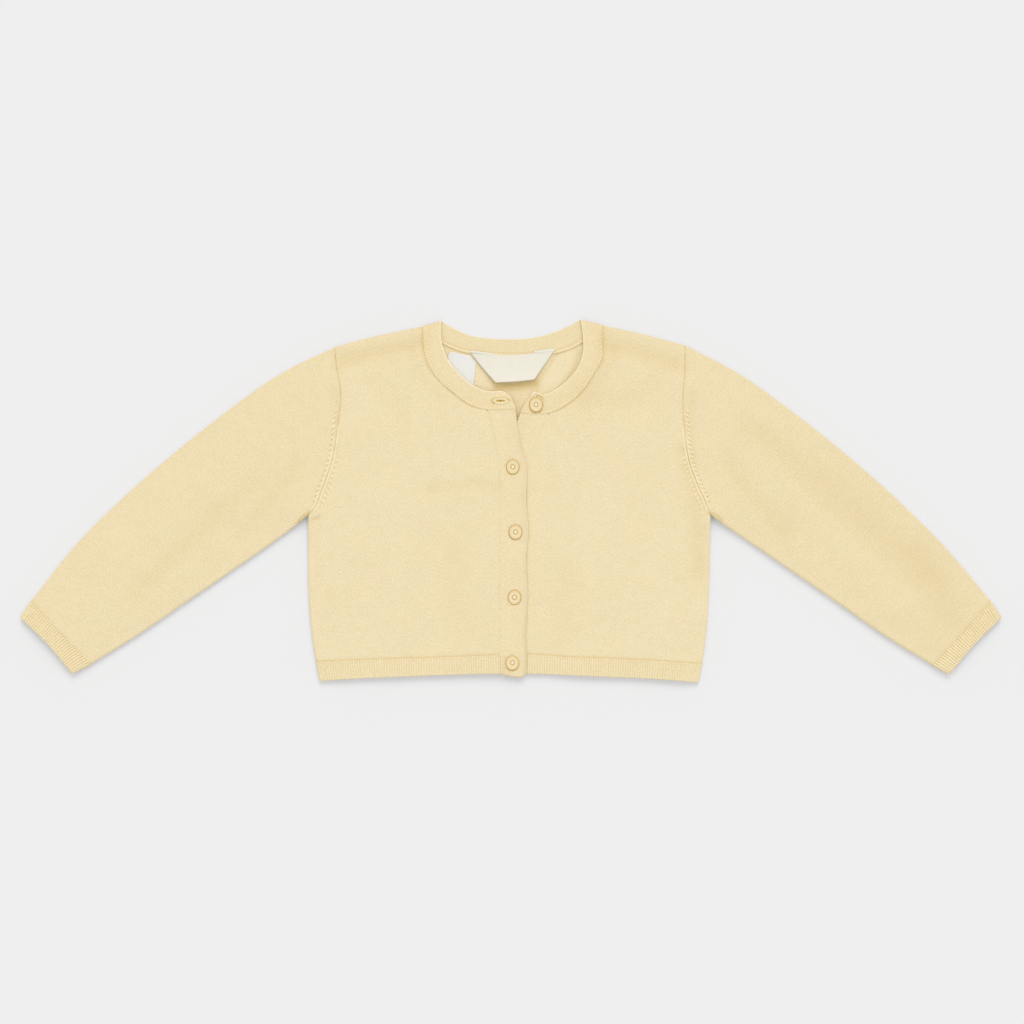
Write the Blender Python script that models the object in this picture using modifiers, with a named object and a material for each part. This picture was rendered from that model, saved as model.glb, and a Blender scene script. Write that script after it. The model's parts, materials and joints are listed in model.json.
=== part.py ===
"""Child's knit shrug, buttoned down the front and laid flat with its sleeves spread.

Every piece of cloth is a wall worked out from its plan: four border lines are blended
into a sheet, the sheet is lifted to its layer, and its folded edges are rolled down to
meet the layer below. +X is the wearer's left, +Y points to the neck and +Z is up. The
tables are in millimetres; the meshes are in metres.
"""

import math
from collections import namedtuple

import bmesh
import bpy
import numpy as np
from mathutils import Vector

MM = 0.001

# Driving sizes, in millimetres.
KNIT_WALL = 1.3
RIB_WALL = 1.6
LABEL_WALL = 1.0
SEAM_GAP = 0.3
LAID_HEIGHT = 4.6  # both layers of the body or a sleeve, with the air between them
RIB_RISE = 0.2  # how far the neckband stands over the panels
OVER_HEIGHT = 5.4  # top of the right front's band, which lies on the left one
UNDER_HEIGHT = 3.5  # top of the left front's band
FOLD_REACH = 2.6  # plan width of a rolled fold
SLOPE_START = 50.0  # how far from the middle the fronts start to rise or dip to their bands
SLOPE_WIDTH = 30.0
FOLD_GAP = 0.6  # between the front's and the back's rim along a fold
RIM_FOLD = (0, 8, 32, 60, 90)  # degrees round a fold; the short first step keeps the rim level
RING_FOLD = (0, 32, 60, 90)  # the same on a tube, which has no rim at its folds

SHANK_RADIUS = 0.5
LOOSE_SHANK = 0.8  # thread between the open button and the neckband under it
BUTTON_SIDES = 16
SLOT_LENGTH = 11.0
SLOT_WIDTH = 1.8
NECK_SLOT_LENGTH = 12.0
SLOT_SIDES = 12

CARE_LABEL_LEVEL = 1.6
BRAND_LABEL_LEVEL = 2.0
BRAND_LABEL_LIFT = 0.3  # its free lower edge over its sewn one

BODY_COLOUR = (0.871, 0.737, 0.468)
RIB_COLOUR = (0.855, 0.716, 0.445)
BUTTON_COLOUR = (0.847, 0.694, 0.396)
CARE_COLOUR = (0.84, 0.83, 0.82)
BRAND_COLOUR = (0.855, 0.815, 0.71)

# One row for each section across a strip: a point on its inner line, and one on its outer line.
Section = namedtuple("Section", "inner_x inner_y outer_x outer_y")
# One row for each height of a front band: where its free edge and its seam are.
BandRow = namedtuple("BandRow", "height edge seam")
Spot = namedtuple("Spot", "x y")

# Side seam, from the hem rib's seam to the underarm, then the armhole up to the shoulder.
RIGHT_SIDE = [
    Spot(-155.9, -127.6),
    Spot(-158.6, -112.0),
    Spot(-160.9, -90.0),
    Spot(-162.3, -62.0),
    Spot(-162.2, -10.3),
]
LEFT_SIDE = [
    Spot(152.6, -129.4),
    Spot(155.6, -108.0),
    Spot(157.5, -85.0),
    Spot(158.4, -62.0),
    Spot(159.2, -10.2),
]
RIGHT_ARMHOLE = [
    Spot(-162.2, -10.3),
    Spot(-156.0, -2.6),
    Spot(-151.8, 8.6),
    Spot(-143.5, 32.2),
    Spot(-139.0, 60.3),
    Spot(-136.3, 87.2),
    Spot(-139.6, 108.0),
    Spot(-141.3, 123.7),
]
LEFT_ARMHOLE = [
    Spot(159.2, -10.2),
    Spot(154.0, 2.4),
    Spot(149.2, 13.1),
    Spot(141.9, 33.4),
    Spot(138.4, 58.0),
    Spot(137.0, 80.0),
    Spot(138.6, 105.0),
    Spot(138.9, 125.4),
]
RIGHT_SHOULDER = [Spot(-141.3, 123.7), Spot(-120.8, 129.6), Spot(-100.0, 134.4), Spot(-70.4, 140.4)]
LEFT_SHOULDER = [Spot(138.9, 125.4), Spot(128.8, 128.0), Spot(108.0, 133.6), Spot(72.8, 141.3)]

# Neckband: inner line at the neck, outer line at the seam, from each shoulder fold to the front.
RIGHT_NECK = [
    Section(-56.2, 144.9, -70.4, 140.4),
    Section(-55.8, 130.0, -70.4, 127.0),
    Section(-51.8, 116.6, -66.6, 110.5),
    Section(-45.0, 106.5, -57.8, 97.5),
    Section(-36.0, 97.4, -46.0, 87.0),
    Section(-25.9, 90.9, -33.0, 77.6),
    Section(-16.5, 88.6, -18.7, 73.7),
    Section(-6.8, 88.7, -8.0, 73.8),
    Section(-1.9, 85.8, -1.5, 74.3),
    Section(2.0, 79.4, 3.4, 74.9),
]
LEFT_NECK = [
    Section(55.4, 146.0, 72.8, 141.3),
    Section(57.3, 131.2, 72.7, 128.0),
    Section(57.1, 120.0, 72.5, 114.3),
    Section(53.8, 108.7, 66.6, 103.4),
    Section(45.9, 98.6, 56.6, 88.6),
    Section(36.5, 90.9, 43.6, 77.4),
    Section(25.6, 86.0, 29.5, 70.8),
    Section(18.7, 88.0, 18.0, 70.4),
    Section(14.5, 84.0, 12.4, 70.9),
    Section(8.0, 73.6, 7.4, 71.7),
]
BACK_NECK = [
    Section(-56.2, 144.9, -70.4, 140.4),
    Section(-47.0, 139.6, -56.5, 129.2),
    Section(-34.2, 133.8, -41.8, 122.6),
    Section(-17.0, 131.0, -20.0, 118.9),
    Section(0.0, 130.3, 0.0, 118.0),
    Section(18.0, 131.7, 20.0, 118.8),
    Section(35.0, 136.2, 41.0, 121.8),
    Section(47.5, 141.8, 57.0, 129.2),
    Section(55.4, 146.0, 72.8, 141.3),
]

# Hem rib: inner line at its seam, outer line at its free edge, from the middle to the side.
RIGHT_HEM = [
    Section(-9.8, -121.8, -9.8, -137.0),
    Section(-40.0, -123.2, -40.0, -137.8),
    Section(-80.0, -124.7, -79.5, -139.2),
    Section(-120.0, -125.9, -118.5, -140.8),
    Section(-155.9, -127.6, -153.3, -142.9),
]
LEFT_HEM = [
    Section(12.8, -121.4, 12.8, -137.0),
    Section(47.0, -123.6, 47.0, -138.4),
    Section(80.0, -125.0, 79.5, -139.8),
    Section(115.0, -126.7, 113.5, -141.3),
    Section(152.6, -129.4, 149.8, -144.2),
]

# Sleeve: inner line under the arm, outer line from the shoulder, from the armhole to the cuff.
RIGHT_SLEEVE = [
    Section(-162.2, -10.3, -141.3, 123.7),
    Section(-176.0, -21.1, -183.2, 103.2),
    Section(-197.6, -36.8, -224.8, 74.4),
    Section(-225.6, -56.0, -266.4, 41.6),
    Section(-258.0, -78.2, -308.0, 5.6),
    Section(-296.0, -104.0, -349.6, -36.0),
    Section(-336.3, -128.6, -383.8, -79.2),
]
LEFT_SLEEVE = [
    Section(159.2, -10.2, 138.9, 125.4),
    Section(174.0, -20.7, 181.0, 103.2),
    Section(197.6, -36.8, 222.4, 74.0),
    Section(225.6, -56.0, 264.0, 41.2),
    Section(258.0, -78.3, 305.6, 4.8),
    Section(296.0, -104.4, 347.2, -36.4),
    Section(336.9, -129.3, 383.4, -79.2),
]
# Cuff: its free end, with how far the middle of that end is drawn in.
RIGHT_CUFF = Section(-350.6, -137.1, -392.5, -92.0)
LEFT_CUFF = Section(351.5, -137.4, 392.8, -92.5)
CUFF_DRAWN_IN = 1.6

# Front bands from the hem up to just below the neckband, and their feet from edge to seam.
RIGHT_BAND = [
    BandRow(-121.8, 12.2, -9.5),
    BandRow(-106.0, 11.5, -9.5),
    BandRow(-76.0, 13.4, -9.5),
    BandRow(-46.0, 12.2, -9.5),
    BandRow(-22.0, 14.1, -9.5),
    BandRow(0.6, 12.2, -9.5),
    BandRow(25.0, 12.8, -9.6),
    BandRow(34.0, 11.4, -10.5),
    BandRow(44.0, 8.2, -12.2),
    BandRow(57.0, 5.6, -15.0),
]
RIGHT_BAND_FOOT = [
    Spot(11.7, -137.0),
    Spot(9.8, -139.2),
    Spot(4.3, -139.8),
    Spot(-2.1, -138.9),
    Spot(-9.5, -137.3),
]
LEFT_BAND = [
    BandRow(-121.4, -9.5, 12.5),
    BandRow(-60.0, -9.5, 12.5),
    BandRow(0.0, -9.5, 12.5),
    BandRow(20.0, -9.4, 12.6),
    BandRow(36.0, -6.4, 15.6),
    BandRow(52.0, -0.6, 21.4),
]
LEFT_BAND_FOOT = [Spot(-9.5, -136.8), Spot(12.5, -136.8)]

# Buttons from the neck down. The first is open and lies on the left end of the neckband.
BUTTONS = [
    Spot(19.8, 77.8),
    Spot(1.2, 28.1),
    Spot(3.4, -23.9),
    Spot(2.6, -76.1),
    Spot(0.9, -128.3),
]

NECK_SLOT = Spot(-8.6, 80.6)
# A button's half section, from the thread at its centre out over the rim and back underneath.
ProfilePoint = namedtuple("ProfilePoint", "radius height")
BUTTON_PROFILE = [
    ProfilePoint(0.0, 2.0),
    ProfilePoint(1.0, 1.9),
    ProfilePoint(1.3, 1.5),
    ProfilePoint(2.0, 2.0),
    ProfilePoint(2.7, 1.5),
    ProfilePoint(4.3, 1.7),
    ProfilePoint(5.0, 2.6),
    ProfilePoint(5.7, 2.3),
    ProfilePoint(6.0, 1.5),
    ProfilePoint(5.6, 0.4),
    ProfilePoint(4.4, 0.0),
]

# Corners of the labels, in order round them.
CARE_LABEL = [
    Spot(-48.6, 120.4),
    Spot(-33.4, 117.3),
    Spot(-28.3, 111.9),
    Spot(-30.5, 80.0),
    Spot(-51.5, 80.0),
    Spot(-51.0, 117.2),
]
BRAND_LABEL = [Spot(-32.6, 118.8), Spot(35.2, 121.8), Spot(18.6, 98.2), Spot(-12.5, 95.6)]

# Everything that one half of the garment has of its own. side is -1 on the wearer's right.
Half = namedtuple("Half", "name side seam armhole shoulder neck hem sleeve cuff band foot level")
HALVES = [
    Half(
        name="right",
        side=-1,
        seam=RIGHT_SIDE,
        armhole=RIGHT_ARMHOLE,
        shoulder=RIGHT_SHOULDER,
        neck=RIGHT_NECK,
        hem=RIGHT_HEM,
        sleeve=RIGHT_SLEEVE,
        cuff=RIGHT_CUFF,
        band=RIGHT_BAND,
        foot=RIGHT_BAND_FOOT,
        level=OVER_HEIGHT,
    ),
    Half(
        name="left",
        side=1,
        seam=LEFT_SIDE,
        armhole=LEFT_ARMHOLE,
        shoulder=LEFT_SHOULDER,
        neck=LEFT_NECK,
        hem=LEFT_HEM,
        sleeve=LEFT_SLEEVE,
        cuff=LEFT_CUFF,
        band=LEFT_BAND,
        foot=LEFT_BAND_FOOT,
        level=UNDER_HEIGHT,
    ),
]

# Shares of a panel's height at its landmarks, which line up its rows from side to side.
ARMHOLE_SPANS = len(RIGHT_ARMHOLE) - 1
UNDERARM_SHARE = 0.46
NECK_SHARE = UNDERARM_SHARE + (1 - UNDERARM_SHARE) * 4 / ARMHOLE_SPANS
SHOULDER_SHARE = 0.24  # share of the back's width at each shoulder
FOLD_FADES = 0.01  # share over which a fold ends at the underarm or the neck
BAND_CORNER = 6  # the row of the neck tables at the top of the front band's seam
LONGEST_RUN = 0.35  # the largest share of a sheet between two cuts
NECK_STEPS = 2  # steps in each span between two rows of a table
SLEEVE_STEPS = 1
CUFF_STEPS = 3


class Line:
    """A plan line of straight runs, read at any share of the way along it.

    Each point has its own share, so that lines on both sides of a sheet can be kept in step.
    """

    def __init__(self, points, shares=None):
        self.points = np.asarray(points, float)
        self.shares = np.linspace(0, 1, len(self.points)) if shares is None else shares

    def at(self, share):
        """The points at these shares, as an array with a last side of two."""
        return np.stack([np.interp(share, self.shares, self.points[:, k]) for k in (0, 1)], axis=-1)

    def length(self):
        return np.linalg.norm(np.diff(self.points, axis=0), axis=1).sum()

    def reversed(self):
        return Line(self.points[::-1], 1 - self.shares[::-1])

    def between(self, first, last):
        return Line(self.points[first : last + 1])

    def moved(self, x, y):
        return Line(self.points + (x, y), self.shares)

    def set_off(self, distance):
        """The line moved sideways with mitred corners, to its left as it runs if distance is positive."""
        run = np.diff(self.points, axis=0)
        run /= np.linalg.norm(run, axis=1)[:, None]
        left = np.column_stack([-run[:, 1], run[:, 0]])
        before, after = np.vstack([left[:1], left]), np.vstack([left, left[-1:]])
        mitre = (before + after) / (1 + (before * after).sum(axis=1))[:, None]
        return Line(self.points + distance * mitre, self.shares)

    def with_ends(self, first, last):
        """The line with its end points moved to where its neighbours end."""
        points = self.points.copy()
        points[0], points[-1] = first, last
        return Line(points, self.shares)


def joined(lines, marks):
    """Lines end to end as one. marks are the shares at which the first, second, ... of them end."""
    points, shares = [lines[0].points[:1]], [[0.0]]
    begin = 0.0
    for line, end in zip(lines, marks):
        points.append(line.points[1:])
        shares.append(begin + line.shares[1:] * (end - begin))
        begin = end
    return Line(np.vstack(points), np.concatenate(shares))


def rounded(points, steps):
    """A line through the points in cubic spans of a few steps, its direction at a point being
    the mean of the two chords' directions, each weighted by the other's length."""
    points = np.asarray(points, float)
    chords = np.diff(points, axis=0)
    lengths = np.linalg.norm(chords, axis=1)[:, None]
    runs = chords / lengths
    before, after = np.vstack([runs[:1], runs]), np.vstack([runs, runs[-1:]])
    length_before = np.vstack([lengths[:1], lengths])
    length_after = np.vstack([lengths, lengths[-1:]])
    tangents = before * length_after + after * length_before
    tangents /= length_before + length_after
    u = np.linspace(0, 1, steps, endpoint=False)[None, :, None]
    start, end = points[:-1, None], points[1:, None]
    leave, arrive = (tangents[:-1] * lengths)[:, None], (tangents[1:] * lengths)[:, None]
    spans = (
        (2 * u**3 - 3 * u**2 + 1) * start
        + (u**3 - 2 * u**2 + u) * leave
        + (3 * u**2 - 2 * u**3) * end
        + (u**3 - u**2) * arrive
    )
    return Line(np.vstack([spans.reshape(-1, 2), points[-1]]))


def inner_line(sections, steps=1):
    return rounded([(row.inner_x, row.inner_y) for row in sections], steps)


def outer_line(sections, steps=1):
    return rounded([(row.outer_x, row.outer_y) for row in sections], steps)


def ease(value):
    """0 below 0 and 1 above 1, with a smooth rise between."""
    value = np.clip(value, 0, 1)
    return value * value * (3 - 2 * value)


def front_height(half, rise=0.0):
    """Height of the front layer over any plan: each front slopes from the laid height to its band."""

    def height(plan):
        towards_band = ease((SLOPE_START - half.side * plan[..., 0]) / SLOPE_WIDTH)
        return LAID_HEIGHT + rise + (half.level - LAID_HEIGHT) * towards_band

    return height


class Sheet:
    """A sheet between four plan lines. Near and far run up its rows, low and high across them."""

    def __init__(self, near, far, low, high):
        self.low, self.high = low, high
        self.near = near.with_ends(low.points[0], high.points[0])
        self.far = far.with_ends(low.points[-1], high.points[-1])

    def plan(self, row, column):
        """Both pairs of lines blended, less the corners, which each pair counts once."""
        r, c = row[..., None], column[..., None]
        sides = (1 - c) * self.near.at(row) + c * self.far.at(row)
        borders = (1 - r) * self.low.at(column) + r * self.high.at(column)
        near_corners = (1 - r) * self.near.at(0.0) + r * self.near.at(1.0)
        far_corners = (1 - r) * self.far.at(0.0) + r * self.far.at(1.0)
        return sides + borders - (1 - c) * near_corners - c * far_corners

    def widths(self, rows):
        return np.linalg.norm(self.far.at(rows) - self.near.at(rows), axis=-1)

    def height(self):
        return np.linalg.norm(self.high.at(0.5) - self.low.at(0.5))

    def row_marks(self, *more):
        """Shares of every point of the near and far lines, so that neighbours share their runs."""
        return tidy_shares([self.near.shares, self.far.shares, more])

    def column_marks(self, *more):
        return tidy_shares([self.low.shares, self.high.shares, more])


def tidy_shares(lists):
    """The shares in these lists in order, each once, with runs longer than LONGEST_RUN cut up."""
    shares = np.unique(np.round(np.concatenate([np.asarray(part, float) for part in lists]), 5))
    filled = [
        np.linspace(start, end, math.ceil((end - start) / LONGEST_RUN), endpoint=False)
        for start, end in zip(shares[:-1], shares[1:])
    ]
    return np.append(np.concatenate(filled), 1.0)


def fold_cuts(lengths, shares, fold, start_folded, end_folded):
    """The cuts across lines of these lengths, with more round the folded ends, and both lifts there.

    Round a fold the cuts lie by angle, as fold lists them: the plan distance from the edge is the
    reach times 1 less the cosine, and the lift, 0 at the edge and 1 on the flat, is the sine.
    """
    lengths = np.atleast_1d(lengths)[:, None]
    distance = FOLD_REACH * (1 - np.cos(np.radians(fold)))
    lift = np.sin(np.radians(fold))
    middle = shares[int(start_folded) : -1 if end_folded else None]
    flat, level = np.ones(len(middle)), np.ones(len(lift))
    cuts, start_lift, end_lift = [np.tile(middle, (len(lengths), 1))], [flat], [flat]
    if start_folded:
        cuts.insert(0, distance / lengths)
        start_lift.insert(0, lift)
        end_lift.insert(0, level)
    if end_folded:
        cuts.append(1 - distance[::-1] / lengths)
        start_lift.append(level)
        end_lift.append(lift[::-1])
    return np.hstack(cuts), np.concatenate(start_lift), np.concatenate(end_lift)


def grid_faces(rows, columns, ring=False):
    """Quads of a grid of points, closed round its columns for a ring."""
    index = np.arange(rows * columns).reshape(rows, columns)
    if ring:
        index = np.hstack([index, index[:, :1]])
    corners = (index[:-1, :-1], index[:-1, 1:], index[1:, 1:], index[1:, :-1])
    return np.stack(corners, axis=-1).reshape(-1, 4)


def faces_outwards(points, faces):
    """The faces turned, if need be, so that those above half the laid height look up on the whole,
    and those below it down."""
    corners = points[faces]
    normals = np.cross(corners[:, 1] - corners[:, 0], corners[:, 2] - corners[:, 1])
    above = np.sign(corners[:, :, 2].mean(axis=1) - LAID_HEIGHT / 2)
    return faces if (normals[:, 2] * above).sum() > 0 else faces[:, ::-1]


def material(name, colour, roughness):
    made = bpy.data.materials.new(name)
    made.use_nodes = True
    shader = made.node_tree.nodes["Principled BSDF"]
    shader.inputs["Base Color"].default_value = (*colour, 1)
    shader.inputs["Roughness"].default_value = roughness
    shader.inputs["Metallic"].default_value = 0.0
    made.diffuse_color = (*colour, 1)
    return made


class Garment:
    """The collection of the pieces, which hang from one empty."""

    def __init__(self):
        self.parts = bpy.data.collections.new("knit_shrug")
        self.cutters = bpy.data.collections.new("cutters")
        for collection in (self.parts, self.cutters):
            bpy.context.scene.collection.children.link(collection)
        self.middle = bpy.data.objects.new("garment_middle", None)
        self.parts.objects.link(self.middle)

    def add(self, name, data, colour, roughness=0.9):
        data.materials.append(material(name, colour, roughness))
        piece = bpy.data.objects.new(name, data)
        self.parts.objects.link(piece)
        piece.parent = self.middle
        return piece

    def add_cloth(self, name, points, faces, wall, colour):
        """An open sheet, which is the outer side of its wall."""
        mesh = bpy.data.meshes.new(name)
        mesh.from_pydata((points * MM).tolist(), [], faces_outwards(points, faces).tolist())
        mesh.shade_smooth()
        piece = self.add(name, mesh, colour)
        thick = piece.modifiers.new("wall", "SOLIDIFY")
        thick.thickness = wall * MM
        thick.offset = -1
        thick.use_even_offset = True
        return piece

    def cut_slot(self, piece, place, along_x, along_y):
        """An eye-shaped buttonhole right through a piece."""
        shape = bmesh.new()
        bmesh.ops.create_cone(
            shape,
            cap_ends=True,
            segments=SLOT_SIDES,
            radius1=MM / 2,
            radius2=MM / 2,
            depth=2 * OVER_HEIGHT * MM,
        )
        bmesh.ops.scale(shape, vec=(along_x, along_y, 1), verts=shape.verts)
        mesh = bpy.data.meshes.new("slot")
        shape.to_mesh(mesh)
        shape.free()
        cutter = bpy.data.objects.new(f"cut_{piece.name}", mesh)
        cutter.location = (place.x * MM, place.y * MM, OVER_HEIGHT * MM)
        cutter.parent = self.middle
        cutter.hide_render = True
        cutter.display_type = "WIRE"
        self.cutters.objects.link(cutter)
        cut = piece.modifiers.new("slot", "BOOLEAN")
        cut.operation = "DIFFERENCE"
        cut.solver = "EXACT"
        cut.object = cutter

    def centre(self):
        """Moves the empty, so that the origin lies under the middle of the garment."""
        bpy.context.view_layer.update()
        graph = bpy.context.evaluated_depsgraph_get()
        corners = []
        for piece in self.parts.objects:
            if piece.type == "MESH":
                shown = piece.evaluated_get(graph)
                corners += [shown.matrix_world @ Vector(corner) for corner in shown.bound_box]
        corners = np.array(corners)
        middle = (corners.min(axis=0) + corners.max(axis=0)) / 2
        self.middle.location = (-middle[0], -middle[1], 0)


def not_folded(row, column):
    """No edge of the sheet is a fold: near, far and high, from 0 to 1 at each point."""
    return 0 * row, 0 * row, 0 * row


def add_layer(garment, name, sheet, rows, columns, folded, top, wall, colour):
    """A sheet of the front, with top giving its height over any plan, or of the back, with none.

    rows is (shares, lift at high). columns is (shares, lift at near, lift at far). folded gives
    how far near, far and high are folds at each point, from 0 to 1. A folded edge comes half way
    to the other layer, where the two rims are FOLD_GAP apart.
    """
    row_shares, high_lift = rows
    column_shares, near_lift, far_lift = columns
    row_grid = np.broadcast_to(row_shares[:, None], column_shares.shape)
    plan = sheet.plan(row_grid, column_shares)
    near_folded, far_folded, high_folded = folded(row_grid, column_shares)
    lift = 1 - near_folded * (1 - near_lift[None, :])
    lift = lift * (1 - far_folded * (1 - far_lift[None, :]))
    lift = lift * (1 - high_folded * (1 - high_lift[:, None]))
    if top is None:
        heights = (LAID_HEIGHT - FOLD_GAP) / 2 * (1 - lift)
    else:
        rim = (LAID_HEIGHT + FOLD_GAP) / 2
        heights = rim + (top(plan) - rim) * lift
    points = np.dstack([plan, heights]).reshape(-1, 3)
    return garment.add_cloth(name, points, grid_faces(*column_shares.shape), wall, colour)


def add_panel(garment, name, sheet, neck_marks, folds, folded, top):
    """A front or the back, folded round its shoulder and up to the underarm at its sides."""
    marks = sheet.row_marks(UNDERARM_SHARE - FOLD_FADES)
    shares, _, high_lift = fold_cuts(sheet.height(), marks, RIM_FOLD, False, True)
    rows = shares[0]
    columns = fold_cuts(sheet.widths(rows), sheet.column_marks(*neck_marks), RIM_FOLD, *folds)
    add_layer(
        garment, name, sheet, (rows, high_lift), columns, folded, top, KNIT_WALL, BODY_COLOUR
    )


def add_front(garment, half):
    """A front, from its band's seam to its side seam and from the hem rib to the shoulder."""
    neck_seam = outer_line(half.neck, NECK_STEPS)
    corner = BAND_CORNER * NECK_STEPS
    band_seam = Line([*((row.seam, row.height) for row in half.band), neck_seam.points[corner]])
    neckline = neck_seam.between(0, corner).reversed()
    edge = joined([band_seam, neckline], [NECK_SHARE, 1]).set_off(-half.side * SEAM_GAP)
    shoulder = Line(half.shoulder[::-1])
    sheet = Sheet(
        near=edge,
        far=joined([Line(half.seam), Line(half.armhole)], [UNDERARM_SHARE, 1]),
        low=inner_line(half.hem).moved(0, SEAM_GAP),
        high=shoulder.with_ends(edge.points[-1], shoulder.points[-1]),
    )

    def folded(row, column):
        return 0 * row, row < UNDERARM_SHARE, 1 + 0 * row

    top = front_height(half)
    add_panel(garment, f"front_{half.name}", sheet, (), (False, True), folded, top)


def add_back(garment):
    """The back, one sheet from side to side, folded at both sides and both shoulders."""
    right, left = HALVES
    neckline = outer_line(BACK_NECK).set_off(-SEAM_GAP)
    shoulders = Line(right.shoulder), Line(left.shoulder).reversed()
    neck_left = 1 - SHOULDER_SHARE
    sheet = Sheet(
        near=joined([Line(right.seam), Line(right.armhole)], [UNDERARM_SHARE, 1]),
        far=joined([Line(left.seam), Line(left.armhole)], [UNDERARM_SHARE, 1]),
        low=inner_line([*right.hem[::-1], *left.hem]).moved(0, SEAM_GAP),
        high=joined(
            [
                shoulders[0].with_ends(shoulders[0].points[0], neckline.points[0]),
                neckline,
                shoulders[1],
            ],
            [SHOULDER_SHARE, neck_left, 1],
        ),
    )

    def folded(row, column):
        at_side = row < UNDERARM_SHARE
        return at_side, at_side, (column < SHOULDER_SHARE) | (column > neck_left)

    fades = (SHOULDER_SHARE - FOLD_FADES, neck_left + FOLD_FADES)
    add_panel(garment, "back", sheet, fades, (True, True), folded, None)


def add_strip(garment, name, inner, outer, across, folds, top):
    """A rib strip between its inner and outer lines. folds says whether each of its ends folds."""
    sheet = Sheet(
        near=Line([inner.points[0], outer.points[0]]),
        far=Line([inner.points[-1], outer.points[-1]]),
        low=inner,
        high=outer,
    )
    rows = np.linspace(0, 1, across + 1)
    lengths = np.full(len(rows), inner.length())
    columns = fold_cuts(lengths, sheet.column_marks(), RIM_FOLD, *folds)

    def folded(row, column):
        return folds[0] + 0 * row, folds[1] + 0 * row, 0 * row

    levels = (rows, np.ones(len(rows)))
    return add_layer(garment, name, sheet, levels, columns, folded, top, RIB_WALL, RIB_COLOUR)


def add_ribs(garment):
    """The hem ribs and the neckband, with the front's and the back's apart at the folds."""
    for half in HALVES:
        hem = inner_line(half.hem), outer_line(half.hem)
        top = front_height(half)
        add_strip(garment, f"hem_rib_front_{half.name}", *hem, 2, (False, True), top)
        neck = inner_line(half.neck, NECK_STEPS), outer_line(half.neck, NECK_STEPS)
        top = front_height(half, RIB_RISE)
        band = add_strip(garment, f"neckband_{half.name}", *neck, 3, (True, False), top)
        if half.level == OVER_HEIGHT:
            garment.cut_slot(band, NECK_SLOT, NECK_SLOT_LENGTH, SLOT_WIDTH)
    across = [*HALVES[0].hem[::-1], *HALVES[1].hem]
    add_strip(garment, "hem_rib_back", inner_line(across), outer_line(across), 2, (True, True), None)
    neck = inner_line(BACK_NECK), outer_line(BACK_NECK)
    add_strip(garment, "neckband_back", *neck, 3, (True, True), None)


def add_band(garment, half):
    """A front band, from its foot just below the hem rib's edge up to the neckband's seam."""
    seam = outer_line(half.neck, NECK_STEPS).set_off(half.side * SEAM_GAP)
    free = [half.foot[0], *((row.edge, row.height) for row in half.band), seam.points[-1]]
    corner = seam.points[BAND_CORNER * NECK_STEPS]
    sewn = [half.foot[-1], *((row.seam, row.height) for row in half.band), corner]
    sheet = Sheet(
        near=Line(free),
        far=Line(sewn),
        low=Line(half.foot),
        high=seam.between(BAND_CORNER * NECK_STEPS, len(seam.points) - 1).reversed(),
    )
    rows = sheet.row_marks()
    columns = np.tile(sheet.column_marks(), (len(rows), 1))
    level = np.ones(columns.shape[1])
    band = add_layer(
        garment,
        f"band_{half.name}",
        sheet,
        (rows, np.ones(len(rows))),
        (columns, level, level),
        not_folded,
        front_height(half),
        RIB_WALL,
        RIB_COLOUR,
    )
    if half.level == OVER_HEIGHT:
        for place in BUTTONS[1:]:
            garment.cut_slot(band, place, SLOT_WIDTH, SLOT_LENGTH)


def add_tube(garment, name, sheet, wall, colour):
    """A flattened tube: the sheet's plan above and below, joined round its near and far lines."""
    rows = sheet.row_marks()
    marks = sheet.column_marks()
    columns, near_lift, far_lift = fold_cuts(sheet.widths(rows), marks, RING_FOLD, True, True)
    plan = sheet.plan(np.broadcast_to(rows[:, None], columns.shape), columns)
    rise = np.tile(LAID_HEIGHT / 2 * near_lift * far_lift, (len(rows), 1))
    upper = np.dstack([plan, LAID_HEIGHT / 2 + rise])
    lower = np.dstack([plan, LAID_HEIGHT / 2 - rise])
    ring = np.concatenate([upper, lower[:, -2:0:-1]], axis=1)
    faces = grid_faces(ring.shape[0], ring.shape[1], ring=True)
    garment.add_cloth(name, ring.reshape(-1, 3), faces, wall, colour)


def add_sleeve(garment, half):
    """A set-in sleeve from the armhole to its cuff's seam, and the ribbed cuff."""
    inner, outer = inner_line(half.sleeve, SLEEVE_STEPS), outer_line(half.sleeve, SLEEVE_STEPS)
    cuff_seam = Line([inner.points[-1], outer.points[-1]])
    armhole = Line(half.armhole).set_off(-half.side * SEAM_GAP)
    sleeve = Sheet(near=inner, far=outer, low=armhole, high=cuff_seam)
    add_tube(garment, f"sleeve_{half.name}", sleeve, KNIT_WALL, BODY_COLOUR)

    tips = np.array([half.cuff[:2], half.cuff[2:]])
    chord = tips[1] - tips[0]
    drawn_in = half.side * CUFF_DRAWN_IN * np.array((-chord[1], chord[0])) / np.linalg.norm(chord)
    start = cuff_seam.set_off(-half.side * SEAM_GAP)
    cuff = Sheet(
        near=Line([start.points[0], tips[0]]),
        far=Line([start.points[1], tips[1]]),
        low=start,
        high=rounded([tips[0], tips.mean(axis=0) + drawn_in, tips[1]], CUFF_STEPS),
    )
    add_tube(garment, f"cuff_{half.name}", cuff, RIB_WALL, RIB_COLOUR)


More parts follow.
